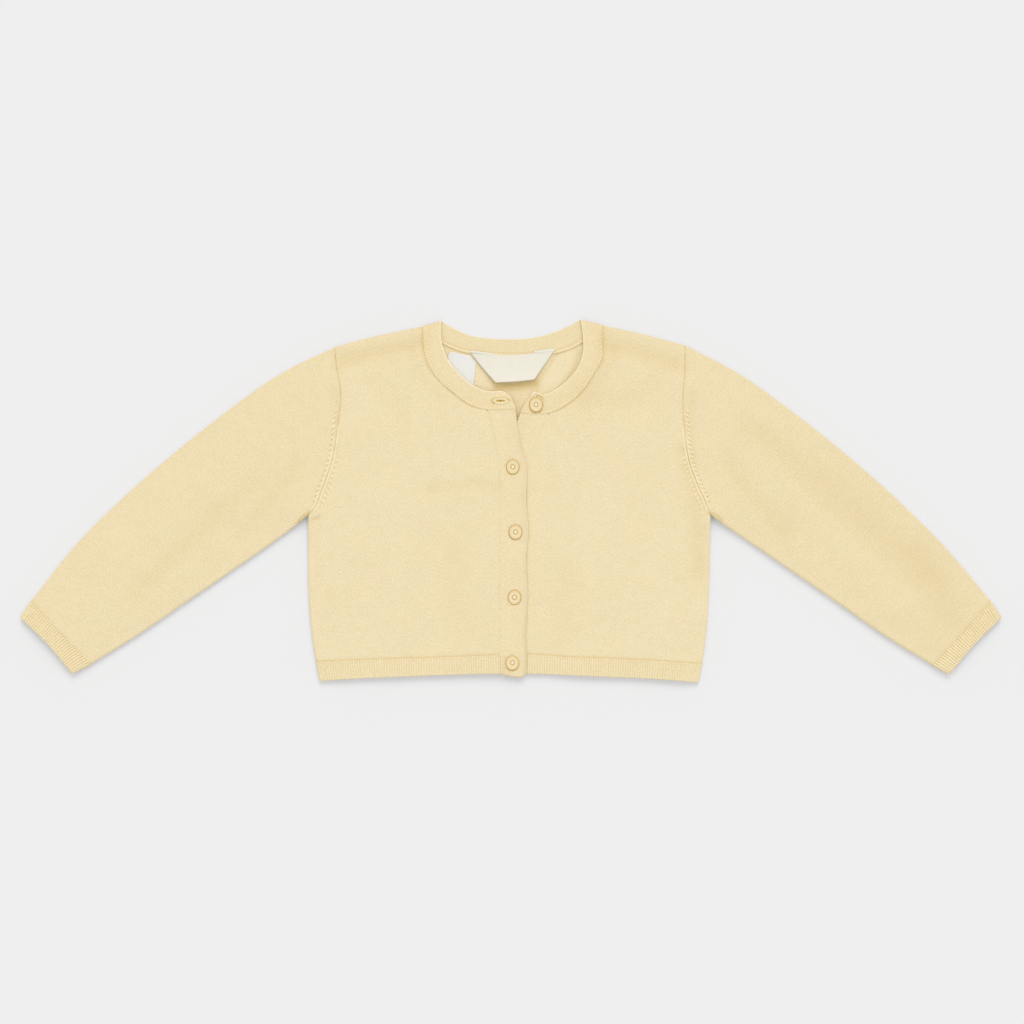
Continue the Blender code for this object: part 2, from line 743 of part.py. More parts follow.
def add_button(garment, number, place, underside, shank):
    """A turned button, its thread shank reaching down to the cloth that it is sewn to."""
    profile = [(point.radius, point.height) for point in BUTTON_PROFILE]
    profile += [(SHANK_RADIUS, 0.0), (SHANK_RADIUS, -shank), (0.0, -shank)]
    mesh = bpy.data.meshes.new(f"button_{number}")
    corners = [(radius * MM, 0, height * MM) for radius, height in profile]
    mesh.from_pydata(corners, [(k, k + 1) for k in range(len(corners) - 1)], [])
    button = garment.add(mesh.name, mesh, BUTTON_COLOUR, 0.35)
    button.location = (place.x * MM, place.y * MM, underside * MM)
    turn = button.modifiers.new("turn", "SCREW")
    turn.axis = "Z"
    turn.angle = 2 * math.pi
    turn.steps = turn.render_steps = BUTTON_SIDES
    turn.use_merge_vertices = True
    turn.merge_threshold = 0.00001
    turn.use_smooth_shade = True


def add_buttons(garment):
    """The open button stands on the neckband, and the others on the right band, with their
    shanks through its buttonholes down to the left band."""
    open_button, *fastened = BUTTONS
    loose_level = UNDER_HEIGHT + RIB_RISE + SEAM_GAP
    add_button(garment, 1, open_button, loose_level + LOOSE_SHANK, LOOSE_SHANK)
    level = OVER_HEIGHT + SEAM_GAP
    shank = level - UNDER_HEIGHT - SEAM_GAP
    for number, place in enumerate(fastened, start=2):
        add_button(garment, number, place, level, shank)


def add_label(garment, name, corners, level, lift, colour):
    """A flat label cut to its outline, its lower edge raised by lift about its upper one."""
    highest = max(corner.y for corner in corners)
    lowest = min(corner.y for corner in corners)
    outline = bpy.data.curves.new(name, "CURVE")
    outline.dimensions = "2D"
    outline.fill_mode = "BOTH"
    outline.extrude = LABEL_WALL / 2 * MM
    spline = outline.splines.new("POLY")
    spline.points.add(len(corners) - 1)
    for point, corner in zip(spline.points, corners):
        point.co = (corner.x * MM, (corner.y - highest) * MM, 0, 1)
    spline.use_cyclic_u = True
    label = garment.add(name, outline, colour)
    label.location = (0, highest * MM, (level + LABEL_WALL / 2) * MM)
    label.rotation_euler = (-math.atan2(lift, highest - lowest), 0, 0)


def clear_scene():
    for thing in list(bpy.data.objects):
        bpy.data.objects.remove(thing)


def main():
    clear_scene()
    garment = Garment()
    add_back(garment)
    for half in HALVES:
        add_front(garment, half)
        add_band(garment, half)
        add_sleeve(garment, half)
    add_ribs(garment)
    add_buttons(garment)
    add_label(garment, "care_label", CARE_LABEL, CARE_LABEL_LEVEL, 0.0, CARE_COLOUR)
    add_label(garment, "brand_label", BRAND_LABEL, BRAND_LABEL_LEVEL, BRAND_LABEL_LIFT, BRAND_COLOUR)
    garment.centre()


main()
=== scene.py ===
"""Looks of a child's knit shrug: a cropped fine-knit cardigan laid flat with its sleeves spread.

Each sub-assembly is a class that holds its sizes in millimetres and builds its own meshes as
numpy grids in the plan of the laid garment: X to the wearer's left, Y to the neck, Z up. A
cloth piece is a wall: an outer grid, its unit normals, and an inner grid set in along them,
with rounded free edges. The knit itself is drawn by the materials from each piece's own UV
map, which is its unrolled cloth in millimetres; ribs, seams, marks and creases are real shape.
Painted shade is laid over them as a point attribute that darkens the colour, in the seams,
creases and ribs, under the labels and in the V of the neck. Some edges get a painted highlight,
the ridge loops by the armholes are a lighter yarn as a painted highlight, and darker loops
under the fashioning marks are their painted shadows.
"""

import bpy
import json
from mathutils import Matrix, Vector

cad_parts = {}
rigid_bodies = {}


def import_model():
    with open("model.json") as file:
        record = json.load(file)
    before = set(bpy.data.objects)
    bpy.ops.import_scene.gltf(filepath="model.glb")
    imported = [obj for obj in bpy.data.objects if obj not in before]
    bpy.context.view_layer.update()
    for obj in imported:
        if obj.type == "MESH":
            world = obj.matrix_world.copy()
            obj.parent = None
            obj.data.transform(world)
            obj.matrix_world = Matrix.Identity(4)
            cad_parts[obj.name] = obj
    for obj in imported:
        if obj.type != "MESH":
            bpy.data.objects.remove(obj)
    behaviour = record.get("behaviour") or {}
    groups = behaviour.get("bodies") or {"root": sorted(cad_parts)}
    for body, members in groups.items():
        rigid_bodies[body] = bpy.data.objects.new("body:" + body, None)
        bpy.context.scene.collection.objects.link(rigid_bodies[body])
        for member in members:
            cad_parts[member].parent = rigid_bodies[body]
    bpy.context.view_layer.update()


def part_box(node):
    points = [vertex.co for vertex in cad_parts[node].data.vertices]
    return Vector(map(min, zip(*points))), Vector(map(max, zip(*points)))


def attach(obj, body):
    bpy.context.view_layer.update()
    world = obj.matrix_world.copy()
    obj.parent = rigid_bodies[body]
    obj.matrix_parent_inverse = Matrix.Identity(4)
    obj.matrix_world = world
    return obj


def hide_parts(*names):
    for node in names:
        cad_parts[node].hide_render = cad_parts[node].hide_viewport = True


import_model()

import json
import logging
import math
from dataclasses import dataclass, field
from enum import Enum
from typing import Callable, NamedTuple, Optional, Sequence, Union

import bpy
import numpy as np
from numpy.typing import NDArray

Array = NDArray[np.float64]
Socket = bpy.types.NodeSocket
Value = Union[float, Socket]
Measure = Union[float, Array]

LOG = logging.getLogger("shrug")
MM = 0.001
UV_NAME = "Knit"
# The point attribute of painted shade: how far a point's colour is darkened where shade falls, and
# lightened as a painted highlight below 0.
PAINTED_SHADE_ATTRIBUTE = "Depth"
BODY = "root"


# ---------------------------------------------------------------------------------------
# Pattern: the plan of the laid garment, in millimetres, the same as the solids' own plan.


class Spot(NamedTuple):
    """A point of the plan."""

    x: float
    y: float


class Section(NamedTuple):
    """One section across a strip or a sleeve: a point on its inner and one on its outer line."""

    inner_x: float
    inner_y: float
    outer_x: float
    outer_y: float


class BandRow(NamedTuple):
    """Where a front band's free edge and its seam are at one height."""

    height: float
    edge: float
    seam: float


class Fold(NamedTuple):
    """A soft crease on a bowed line: start, middle and end, half width, and height (- is a trough)."""

    x0: float
    y0: float
    x1: float
    y1: float
    x2: float
    y2: float
    width: float
    height: float


class Lean(Enum):
    """How a front lies against the other one: the height of its band over the surface."""

    OVER = 5.4
    UNDER = 4.0
    NONE = 0.0


@dataclass(frozen=True)
class HalfPlan:
    """The plan of one half of the garment. side is -1 on the wearer's right and 1 on the left."""

    name: str
    side: int
    lean: Lean
    seam: Sequence[Spot]
    armhole: Sequence[Spot]
    shoulder: Sequence[Spot]
    neck: Sequence[Section]
    hem: Sequence[Section]
    sleeve: Sequence[Section]
    cuff: Section
    band: Sequence[BandRow]
    foot: Sequence[Spot]


RIGHT = HalfPlan(
    name="right",
    side=-1,
    lean=Lean.OVER,
    seam=[
        Spot(-155.9, -127.6), Spot(-158.6, -112.0), Spot(-160.9, -90.0), Spot(-162.3, -62.0),
        Spot(-162.2, -10.3),
    ],
    armhole=[
        Spot(-162.2, -10.3), Spot(-156.0, -2.6), Spot(-151.8, 8.6), Spot(-143.5, 32.2),
        Spot(-139.0, 60.3), Spot(-136.3, 87.2), Spot(-139.6, 108.0), Spot(-141.3, 123.7),
    ],
    shoulder=[Spot(-141.3, 123.7), Spot(-120.8, 129.6), Spot(-100.0, 134.4), Spot(-70.4, 140.4)],
    neck=[
        Section(-56.2, 144.9, -70.4, 140.4), Section(-55.8, 130.0, -70.4, 127.0),
        Section(-51.8, 116.6, -66.6, 110.5), Section(-45.0, 106.5, -57.8, 97.5),
        Section(-36.0, 97.4, -46.0, 87.0), Section(-25.9, 90.9, -33.0, 77.6),
        Section(-16.5, 88.6, -18.7, 73.7), Section(-6.8, 88.7, -8.0, 73.8),
        Section(-1.9, 85.8, -1.5, 74.3), Section(2.6, 77.6, 3.4, 74.9),
    ],
    hem=[
        Section(-9.5, -121.8, -9.5, -137.0), Section(-40.0, -123.2, -40.0, -137.8),
        Section(-80.0, -124.7, -79.5, -139.2), Section(-120.0, -125.9, -118.5, -140.8),
        Section(-155.9, -127.6, -153.3, -142.9),
    ],
    sleeve=[
        Section(-162.2, -10.3, -141.3, 123.7), Section(-176.0, -21.5, -183.2, 103.2),
        Section(-197.6, -37.2, -224.8, 74.4), Section(-225.6, -56.4, -266.4, 41.6),
        Section(-258.0, -78.6, -308.0, 5.6), Section(-296.0, -104.6, -349.6, -36.0),
        Section(-336.3, -129.7, -383.8, -79.2),
    ],
    cuff=Section(-350.6, -137.1, -392.5, -92.0),
    band=[
        BandRow(-121.8, 12.2, -9.5), BandRow(-106.0, 11.5, -9.5), BandRow(-76.0, 13.4, -9.5),
        BandRow(-46.0, 12.2, -9.5), BandRow(-22.0, 14.1, -9.5), BandRow(0.6, 12.2, -9.5),
        BandRow(25.0, 12.8, -9.6), BandRow(34.0, 11.4, -10.5), BandRow(44.0, 8.2, -12.2),
        BandRow(57.0, 5.6, -15.0),
    ],
    foot=[
        Spot(11.7, -137.0), Spot(9.8, -139.2), Spot(4.3, -139.8), Spot(-2.1, -138.9),
        Spot(-9.5, -137.3),
    ],
)
LEFT = HalfPlan(
    name="left",
    side=1,
    lean=Lean.UNDER,
    seam=[
        Spot(152.6, -129.4), Spot(155.6, -108.0), Spot(157.5, -85.0), Spot(158.4, -62.0),
        Spot(159.2, -10.2),
    ],
    armhole=[
        Spot(159.2, -10.2), Spot(154.0, 2.4), Spot(149.2, 13.1), Spot(141.9, 33.4),
        Spot(138.4, 58.0), Spot(137.0, 80.0), Spot(138.6, 105.0), Spot(138.9, 125.4),
    ],
    shoulder=[Spot(138.9, 125.4), Spot(128.8, 128.0), Spot(108.0, 133.6), Spot(72.8, 141.3)],
    neck=[
        Section(55.4, 146.0, 72.8, 141.3), Section(57.3, 131.2, 72.7, 128.0),
        Section(57.1, 120.0, 72.5, 114.3), Section(53.8, 108.7, 66.6, 103.4),
        Section(45.9, 98.6, 56.6, 88.6), Section(36.5, 90.9, 43.6, 77.4),
        Section(25.6, 86.0, 29.5, 70.8), Section(18.7, 88.0, 18.0, 70.4),
        Section(14.5, 84.0, 12.4, 70.9), Section(8.0, 73.6, 7.4, 71.7),
    ],
    hem=[
        Section(12.5, -121.4, 12.5, -137.0), Section(47.0, -123.6, 47.0, -138.4),
        Section(80.0, -125.0, 79.5, -139.8), Section(115.0, -126.7, 113.5, -141.3),
        Section(152.6, -129.4, 149.8, -144.2),
    ],
    sleeve=[
        Section(159.2, -10.2, 138.9, 125.4), Section(174.0, -20.7, 181.0, 103.2),
        Section(197.6, -36.8, 222.4, 74.0), Section(225.6, -56.0, 264.0, 41.2),
        Section(258.0, -78.3, 305.6, 4.8), Section(296.0, -105.0, 347.2, -36.4),
        Section(336.9, -130.4, 383.4, -79.2),
    ],
    cuff=Section(350.1, -137.5, 391.9, -92.4),
    band=[
        BandRow(-121.4, -9.5, 12.5), BandRow(-60.0, -9.5, 12.5), BandRow(0.0, -9.5, 12.5),
        BandRow(20.0, -9.4, 12.6), BandRow(36.0, -6.4, 15.6), BandRow(52.0, -0.6, 21.4),
    ],
    foot=[Spot(-9.5, -136.8), Spot(12.5, -136.8)],
)
HALVES = (RIGHT, LEFT)

BACK_NECK = [
    Section(-56.2, 144.9, -70.4, 140.4), Section(-47.0, 139.6, -56.5, 129.2),
    Section(-34.2, 133.8, -41.8, 122.6), Section(-17.0, 131.0, -20.0, 118.9),
    Section(0.0, 130.3, 0.0, 118.0), Section(18.0, 131.7, 20.0, 118.8),
    Section(35.0, 136.2, 41.0, 121.8), Section(47.5, 141.8, 57.0, 129.2),
    Section(55.4, 146.0, 72.8, 141.3),
]
SPAN_STEPS = 12  # runs in each span of a smooth line
BAND_CORNER = 6  # the section of the neck tables where a front band's seam ends
UNDERARM = 0.46  # share of a panel's height at the underarm
NECK_FOOT = 0.7686  # share of a front's height where its neckline starts
SHOULDER = 0.24  # share of the back's width at each shoulder
CUFF_DRAWN_IN = 1.6
STITCH_SINK = -0.65  # how far a seam's stitches underneath are moved up off the floor
HEAD_ROW = 1.0  # how far from its seam a rib's head stitch lies
HEM_RIB_PITCH = 1.97
CUT_ALLOWANCE = 1.02

BUTTON_SPOTS = [
    Spot(19.8, 77.8), Spot(1.2, 28.1), Spot(3.4, -23.9), Spot(2.6, -76.1), Spot(0.9, -128.3),
]
NECK_SLOT = Spot(-8.6, 80.9)

# Soft creases of the front. Widths and heights are in millimetres.
# Troughs (height below 0) here and in the sleeve table also get painted shade in the finish, a share of
# how far they sink.
FRONT_FOLDS = [
    Fold(-136, 114, -104, 121, -74, 127, 6.5, -0.75), Fold(76, 127, 106, 121, 133, 110, 7.0, -0.75),
    Fold(-80, 122, -76, 100, -56, 82, 5.0, -0.35), Fold(82, 122, 78, 100, 58, 80, 5.5, -0.40),
    Fold(-65, 11, -36, 18, -11, 13, 6.0, -0.40), Fold(-52, 24, -34, 27, -14, 22, 6.0, 0.25),
    Fold(136, 40, 148, 12, 150, -58, 6.0, -0.55), Fold(144, 86, 141, 60, 146, 30, 4.0, -0.45),
    Fold(-141, 88, -138, 66, -143, 40, 4.0, -0.35), Fold(-120, 60, -98, 30, -104, -6, 16.0, 0.35),
    Fold(-66, 66, -58, 48, -68, 30, 13.0, 0.35), Fold(70, 40, 78, 22, 66, 4, 13.0, 0.35),
    Fold(104, -40, 96, -72, 112, -100, 16.0, 0.35),
    Fold(-90, -50, -110, -78, -92, -104, 15.0, 0.35),
    Fold(-44, -40, -52, -72, -40, -100, 12.0, -0.25), Fold(44, -58, 50, -86, 40, -112, 12.0, -0.25),
    Fold(60, 84, 86, 76, 108, 88, 11.0, -0.35), Fold(-110, 96, -92, 78, -84, 60, 10.0, -0.25),
    Fold(-161, -14, -157.5, -14.5, -154, -12, 1.2, -1.0),
    Fold(-160, -10.5, -156.5, -11.5, -153.5, -9, 1.4, 0.7),
    Fold(20.5, 84.5, 23, 85.5, 25, 82.5, 0.8, -0.9), Fold(15.5, 87, 18, 89.5, 20, 88, 1.4, 0.7),
]
SLEEVE_FOLDS = [
    Fold(-152, 114, -161, 80, -158, 42, 7.0, 0.45), Fold(154, 112, 163, 78, 160, 42, 7.0, 0.40),
    Fold(-190, 62, -258, 12, -322, -52, 11.0, 0.40),
    Fold(-206, 16, -254, -26, -300, -72, 9.0, -0.35),
    Fold(-172, 30, -186, 6, -214, -20, 8.0, -0.30), Fold(192, 60, 262, 8, 330, -58, 11.0, -0.35),
    Fold(212, 14, 262, -30, 312, -78, 10.0, 0.40), Fold(174, 32, 190, 4, 220, -22, 8.0, -0.35),
    Fold(-318, -28, -346, -62, -352, -88, 8.0, 0.30),
    Fold(320, -34, 348, -66, 352, -94, 9.0, -0.35), Fold(250, 10, 306, -40, 350, -96, 38.0, -0.25),
    Fold(-170, -15.6, -166, -10.5, -161.5, -8.6, 1.3, -2.4),
    Fold(158.5, -9.0, 163, -9.6, 168, -14.2, 1.3, -2.0),
]
# Painted shadows on the inside of the back, as depths of shade: in the V of the neck, under and beside
# the wide label, and beside the neckband's inner edges.
NECK_PAINTED_SHADOWS = [
    Fold(4.6, 84, 4.8, 77, 4.9, 66, 6.0, 0.30), Fold(4.9, 68, 4.9, 66, 4.9, 62, 1.8, 0.60),
    Fold(-11, 92.6, 4, 92.8, 18.5, 94.6, 4.3, 1.05), Fold(20, 96, 28, 107, 36, 119, 2.2, 0.40),
    Fold(-15, 96, -22, 104, -30, 114, 1.6, 0.40), Fold(-30, 84, -20, 88, -8, 86, 3.0, 0.25),
    Fold(40, 92, 50, 102, 54, 120, 2.2, 0.45),
]


# ---------------------------------------------------------------------------------------
# Plan lines and patches.


class Line:
    """A plan line of short straight runs, read at any share of the way along it."""

    def __init__(self, points: Array, shares: Optional[Array] = None) -> None:
        """Keeps the points with their shares, which are even along the points if not given."""
        self.points = np.asarray(points, float)
        self.shares = np.linspace(0, 1, len(self.points)) if shares is None else shares

    @classmethod
    def through(cls, spots: Sequence[Sequence[float]], steps: int = SPAN_STEPS) -> "Line":
        """A smooth line through the spots.

        Each span is the cubic whose end directions are the mean of the neighbouring chords'
        directions, each weighted by the other chord's length.

        Args:
            spots: The points that the line goes through.
            steps: The number of runs in each span.

        Returns:
            The line, its shares even from spot to spot.
        """
        points = np.asarray(spots, float)
        chords = np.diff(points, axis=0)
        lengths = np.linalg.norm(chords, axis=1)[:, None]
        runs = chords / lengths
        before, after = np.vstack([runs[:1], runs]), np.vstack([runs, runs[-1:]])
        length_before = np.vstack([lengths[:1], lengths])
        length_after = np.vstack([lengths, lengths[-1:]])
        tangents = (before * length_after + after * length_before) / (length_before + length_after)
        u = np.linspace(0, 1, steps, endpoint=False)[None, :, None]
        start, end = points[:-1, None], points[1:, None]
        leave, arrive = (tangents[:-1] * lengths)[:, None], (tangents[1:] * lengths)[:, None]
        spans = (
            (2 * u**3 - 3 * u**2 + 1) * start
            + (u**3 - 2 * u**2 + u) * leave
            + (3 * u**2 - 2 * u**3) * end
            + (u**3 - u**2) * arrive
        )
        return cls(np.vstack([spans.reshape(-1, 2), points[-1]]))

    @property
    def length(self) -> float:
        """The line's length in millimetres."""
        return float(np.linalg.norm(np.diff(self.points, axis=0), axis=1).sum())

    def at(self, share: Array) -> Array:
        """The points at these shares."""
        return np.stack([np.interp(share, self.shares, self.points[:, k]) for k in (0, 1)], axis=-1)

    def reversed(self) -> "Line":
        """The same line run the other way."""
        return Line(self.points[::-1], 1 - self.shares[::-1])

    def pitched(self, pitch: float, skip: float = 0.0, left: float = 0.0) -> Array:
        """Shares of the line at an even pitch, less some at the start and some at the end."""
        return np.arange(skip, self.length / pitch - left) * pitch / self.length

    def even(self) -> "Line":
        """The same line with its shares even along its length."""
        runs = np.linalg.norm(np.diff(self.points, axis=0), axis=1)
        return Line(self.points, np.concatenate([[0.0], np.cumsum(runs)]) / runs.sum())

    def stretch(self, first: int, last: int, steps: int = SPAN_STEPS) -> "Line":
        """The stretch between two of the spots that the line was drawn through."""
        return Line(self.points[first * steps : last * steps + 1])

    def with_ends(self, first: Array, last: Array) -> "Line":
        """The line with its two ends moved to these points."""
        points = self.points.copy()
        points[0], points[-1] = first, last
        return Line(points, self.shares)

    def beside(self, share: Array, distance: Array) -> tuple[Array, Array]:
        """Points set off to the left of the line, with the line's unit direction there."""
        step = 0.002
        run = self.at(np.clip(share + step, 0, 1)) - self.at(np.clip(share - step, 0, 1))
        run /= np.linalg.norm(run, axis=-1, keepdims=True)
        left = np.stack([-run[..., 1], run[..., 0]], axis=-1)
        return self.at(share) + left * np.asarray(distance)[..., None], run


def joined(lines: Sequence[Line], marks: Sequence[float]) -> Line:
    """Lines end to end as one, each even along its own length, the marks being where they end."""
    points, shares, begin = [lines[0].points[:1]], [np.zeros(1)], 0.0
    for line, end in zip(lines, marks):
        part = line.even()
        points.append(part.points[1:])
        shares.append(begin + part.shares[1:] * (end - begin))
        begin = end
    return Line(np.vstack(points), np.concatenate(shares))


def inner_line(sections: Sequence[Section]) -> Line:
    """The smooth inner line of a strip or a sleeve."""
    return Line.through([(row.inner_x, row.inner_y) for row in sections])


def outer_line(sections: Sequence[Section]) -> Line:
    """The smooth outer line of a strip or a sleeve."""
    return Line.through([(row.outer_x, row.outer_y) for row in sections])


def ease(value: Array) -> Array:
    """0 below 0 and 1 above 1, with 3v^2 - 2v^3 between."""
    value = np.clip(value, 0, 1)
    return value * value * (3 - 2 * value)


def arc(value: Array) -> Array:
    """The height of a quarter circle over its foot: the root of 1 - (1 - v)^2, v held to 0..1."""
    rest = 1 - np.clip(value, 0, 1)
    return np.sqrt(np.clip(1 - rest * rest, 0, 1))


def unit(vectors: Array) -> Array:
    """The vectors at length 1."""
    return vectors / np.maximum(np.linalg.norm(vectors, axis=-1, keepdims=True), 1e-12)


def ridge_wave(turns: Array) -> Array:
    """How high a rib stands, from 0 to 1: |cos(pi x turns)|, one rib to a turn."""
    return np.abs(np.cos(math.pi * turns))


class Bell(NamedTuple):
    """A soft ridge or hollow along a line: its height, half width and distance from the line."""

    height: float
    width: float
    off: float = 0.0

    def over(self, distance: Array) -> Array:
        """height x exp(-((distance - off) / width)^2)."""
        return self.height * np.exp(-(((distance - self.off) / self.width) ** 2))


class Ramp(NamedTuple):
    """A soft step from 0 to 1: where it starts and how far it runs, backwards if below 0."""

    start: float
    run: float

    def over(self, value: Array) -> Array:
        """The eased step at these values."""
        return ease((value - self.start) / self.run)


SLIT_RIM = Ramp(0.5, 0.7)  # a buttonhole's edge, in shares of its oval


def summed(bells: Sequence[Bell], distance: Array) -> Array:
    """The bells' sum at these distances."""
    return sum(bell.over(distance) for bell in bells)


class Patch:
    """A plan surface between four lines. Near and far run up its rows, low and high across."""

    def __init__(self, near: Line, far: Line, low: Line, high: Line) -> None:
        """Closes the corners on the low and high lines' ends."""
        self.low, self.high = low, high
        self.near = near.with_ends(low.points[0], high.points[0])
        self.far = far.with_ends(low.points[-1], high.points[-1])

    @classmethod
    def between(cls, low: Line, high: Line) -> "Patch":
        """The patch whose near and far lines are straight."""
        ends = [Line([low.points[k], high.points[k]]) for k in (0, -1)]
        return cls(ends[0], ends[1], low, high)

    def plan(self, row: Array, column: Array) -> Array:
        """Both pairs of lines blended in straight proportion, less the corners counted twice."""
        r, c = row[..., None], column[..., None]
        sides = (1 - c) * self.near.at(row) + c * self.far.at(row)
        borders = (1 - r) * self.low.at(column) + r * self.high.at(column)
        near_corners = (1 - r) * self.near.at(0.0) + r * self.near.at(1.0)
        far_corners = (1 - r) * self.far.at(0.0) + r * self.far.at(1.0)
        return sides + borders - (1 - c) * near_corners - c * far_corners

    def widths(self, rows: Array) -> Array:
        """How far apart the near and far lines are at these rows."""
        return np.linalg.norm(self.far.at(rows) - self.near.at(rows), axis=-1)

    def heights(self, columns: Array) -> Array:
        """How far apart the low and high lines are at these columns."""
        return np.linalg.norm(self.high.at(columns) - self.low.at(columns), axis=-1)

    def middle(self) -> tuple[float, float]:
        """Width and height at the middle."""
        half = np.array([0.5])
        return float(self.widths(half)[0]), float(self.heights(half)[0])

    def size(self, cuts: int = 60) -> tuple[float, float]:
        """Greatest width and height, from this many cuts each way."""
        shares = np.linspace(0, 1, cuts)
        return float(self.widths(shares).max()), float(self.heights(shares).max())

    def area(self) -> float:
        """The patch's plan area in square millimetres, by the shoelace rule round its lines."""
        low, far, high, near = (
            line.points for line in (self.low, self.far, self.high, self.near)
        )
        x, y = np.vstack([low, far[1:], high[-2::-1], near[-2::-1]]).T
        return float(abs(x @ np.roll(y, -1) - y @ np.roll(x, -1)) / 2)


def spread(lengths: Array, count: int, start: float, end: float, turns: int = 6) -> Array:
    """Shares across lines of these lengths, closer together at ends that round away.

    Within start or end millimetres of an end the cuts lie at the reach times 1 less the cosine
    of even angles; the run between is even.

    Args:
        lengths: Length of each line, or of the one line.
        count: Cuts in the even run.
        start: Reach of the rounded start.
        end: Reach of the rounded end.
        turns: Cuts in each rounded end.

    Returns:
        One row of shares for each line.
    """
    lengths = np.atleast_1d(lengths)[:, None]
    bent = 1 - np.cos(np.linspace(0, math.pi / 2, turns + 1))
    first, last = start * bent / lengths, 1 - end * bent[::-1] / lengths
    run = np.linspace(0, 1, count + 1)[1:-1]
    middle = first[:, -1:] + (last[:, :1] - first[:, -1:]) * run
    return np.hstack([first, middle, last])


def chain_of(points: Array, *more: Array) -> Array:
    """Straight runs between the points of each line, as an array of start and end points."""
    return np.concatenate([np.stack([p[:-1], p[1:]], axis=1) for p in (points, *more)])


def nearest(plan: Array, chain: Array) -> Array:
    """Distance from each plan point to the nearest run of the chain.

    For each run, the foot of the point is the start plus the run times the clipped share of
    the point along it.
    """
    flat = plan.reshape(-1, 2)
    best = np.full(len(flat), np.inf)
    for start, end in chain:
        run = end - start
        share = np.clip((flat - start) @ run / max(run @ run, 1e-12), 0, 1)
        gap = flat - start - share[:, None] * run
        np.minimum(best, np.einsum("ij,ij->i", gap, gap), out=best)
    return np.sqrt(best).reshape(plan.shape[:-1])


# ---------------------------------------------------------------------------------------
# The laid form: how high the cloth lies over each point of the plan.


def strokes(plan: Array, folds: Sequence[Fold]) -> Array:
    """Sum over the folds of height times exp(-(distance / width)^2).

    Each fold is a quadratic curve of 8 runs, and distance is to its nearest run, so that its
    ends fade round as its sides do. A fold more than 3 widths outside the plan is passed over.
    """
    total = np.zeros(plan.shape[:-1])
    t = np.linspace(0, 1, 9)[:, None]
    low, high = plan.reshape(-1, 2).min(axis=0), plan.reshape(-1, 2).max(axis=0)
    for fold in folds:
        start, bend, end = np.array(fold[:6]).reshape(3, 2)
        curve = (1 - t) ** 2 * start + 2 * t * (1 - t) * bend + t**2 * end
        margin = 3 * fold.width
        if (curve.max(axis=0) >= low - margin).all() and (curve.min(axis=0) <= high + margin).all():
            total += Bell(fold.height, fold.width).over(nearest(plan, chain_of(curve)))
    return total


def lined(grid: Array, *lines: Line) -> Array:
    """Distance from the lines."""
    return nearest(grid, chain_of(*(line.points for line in lines)))


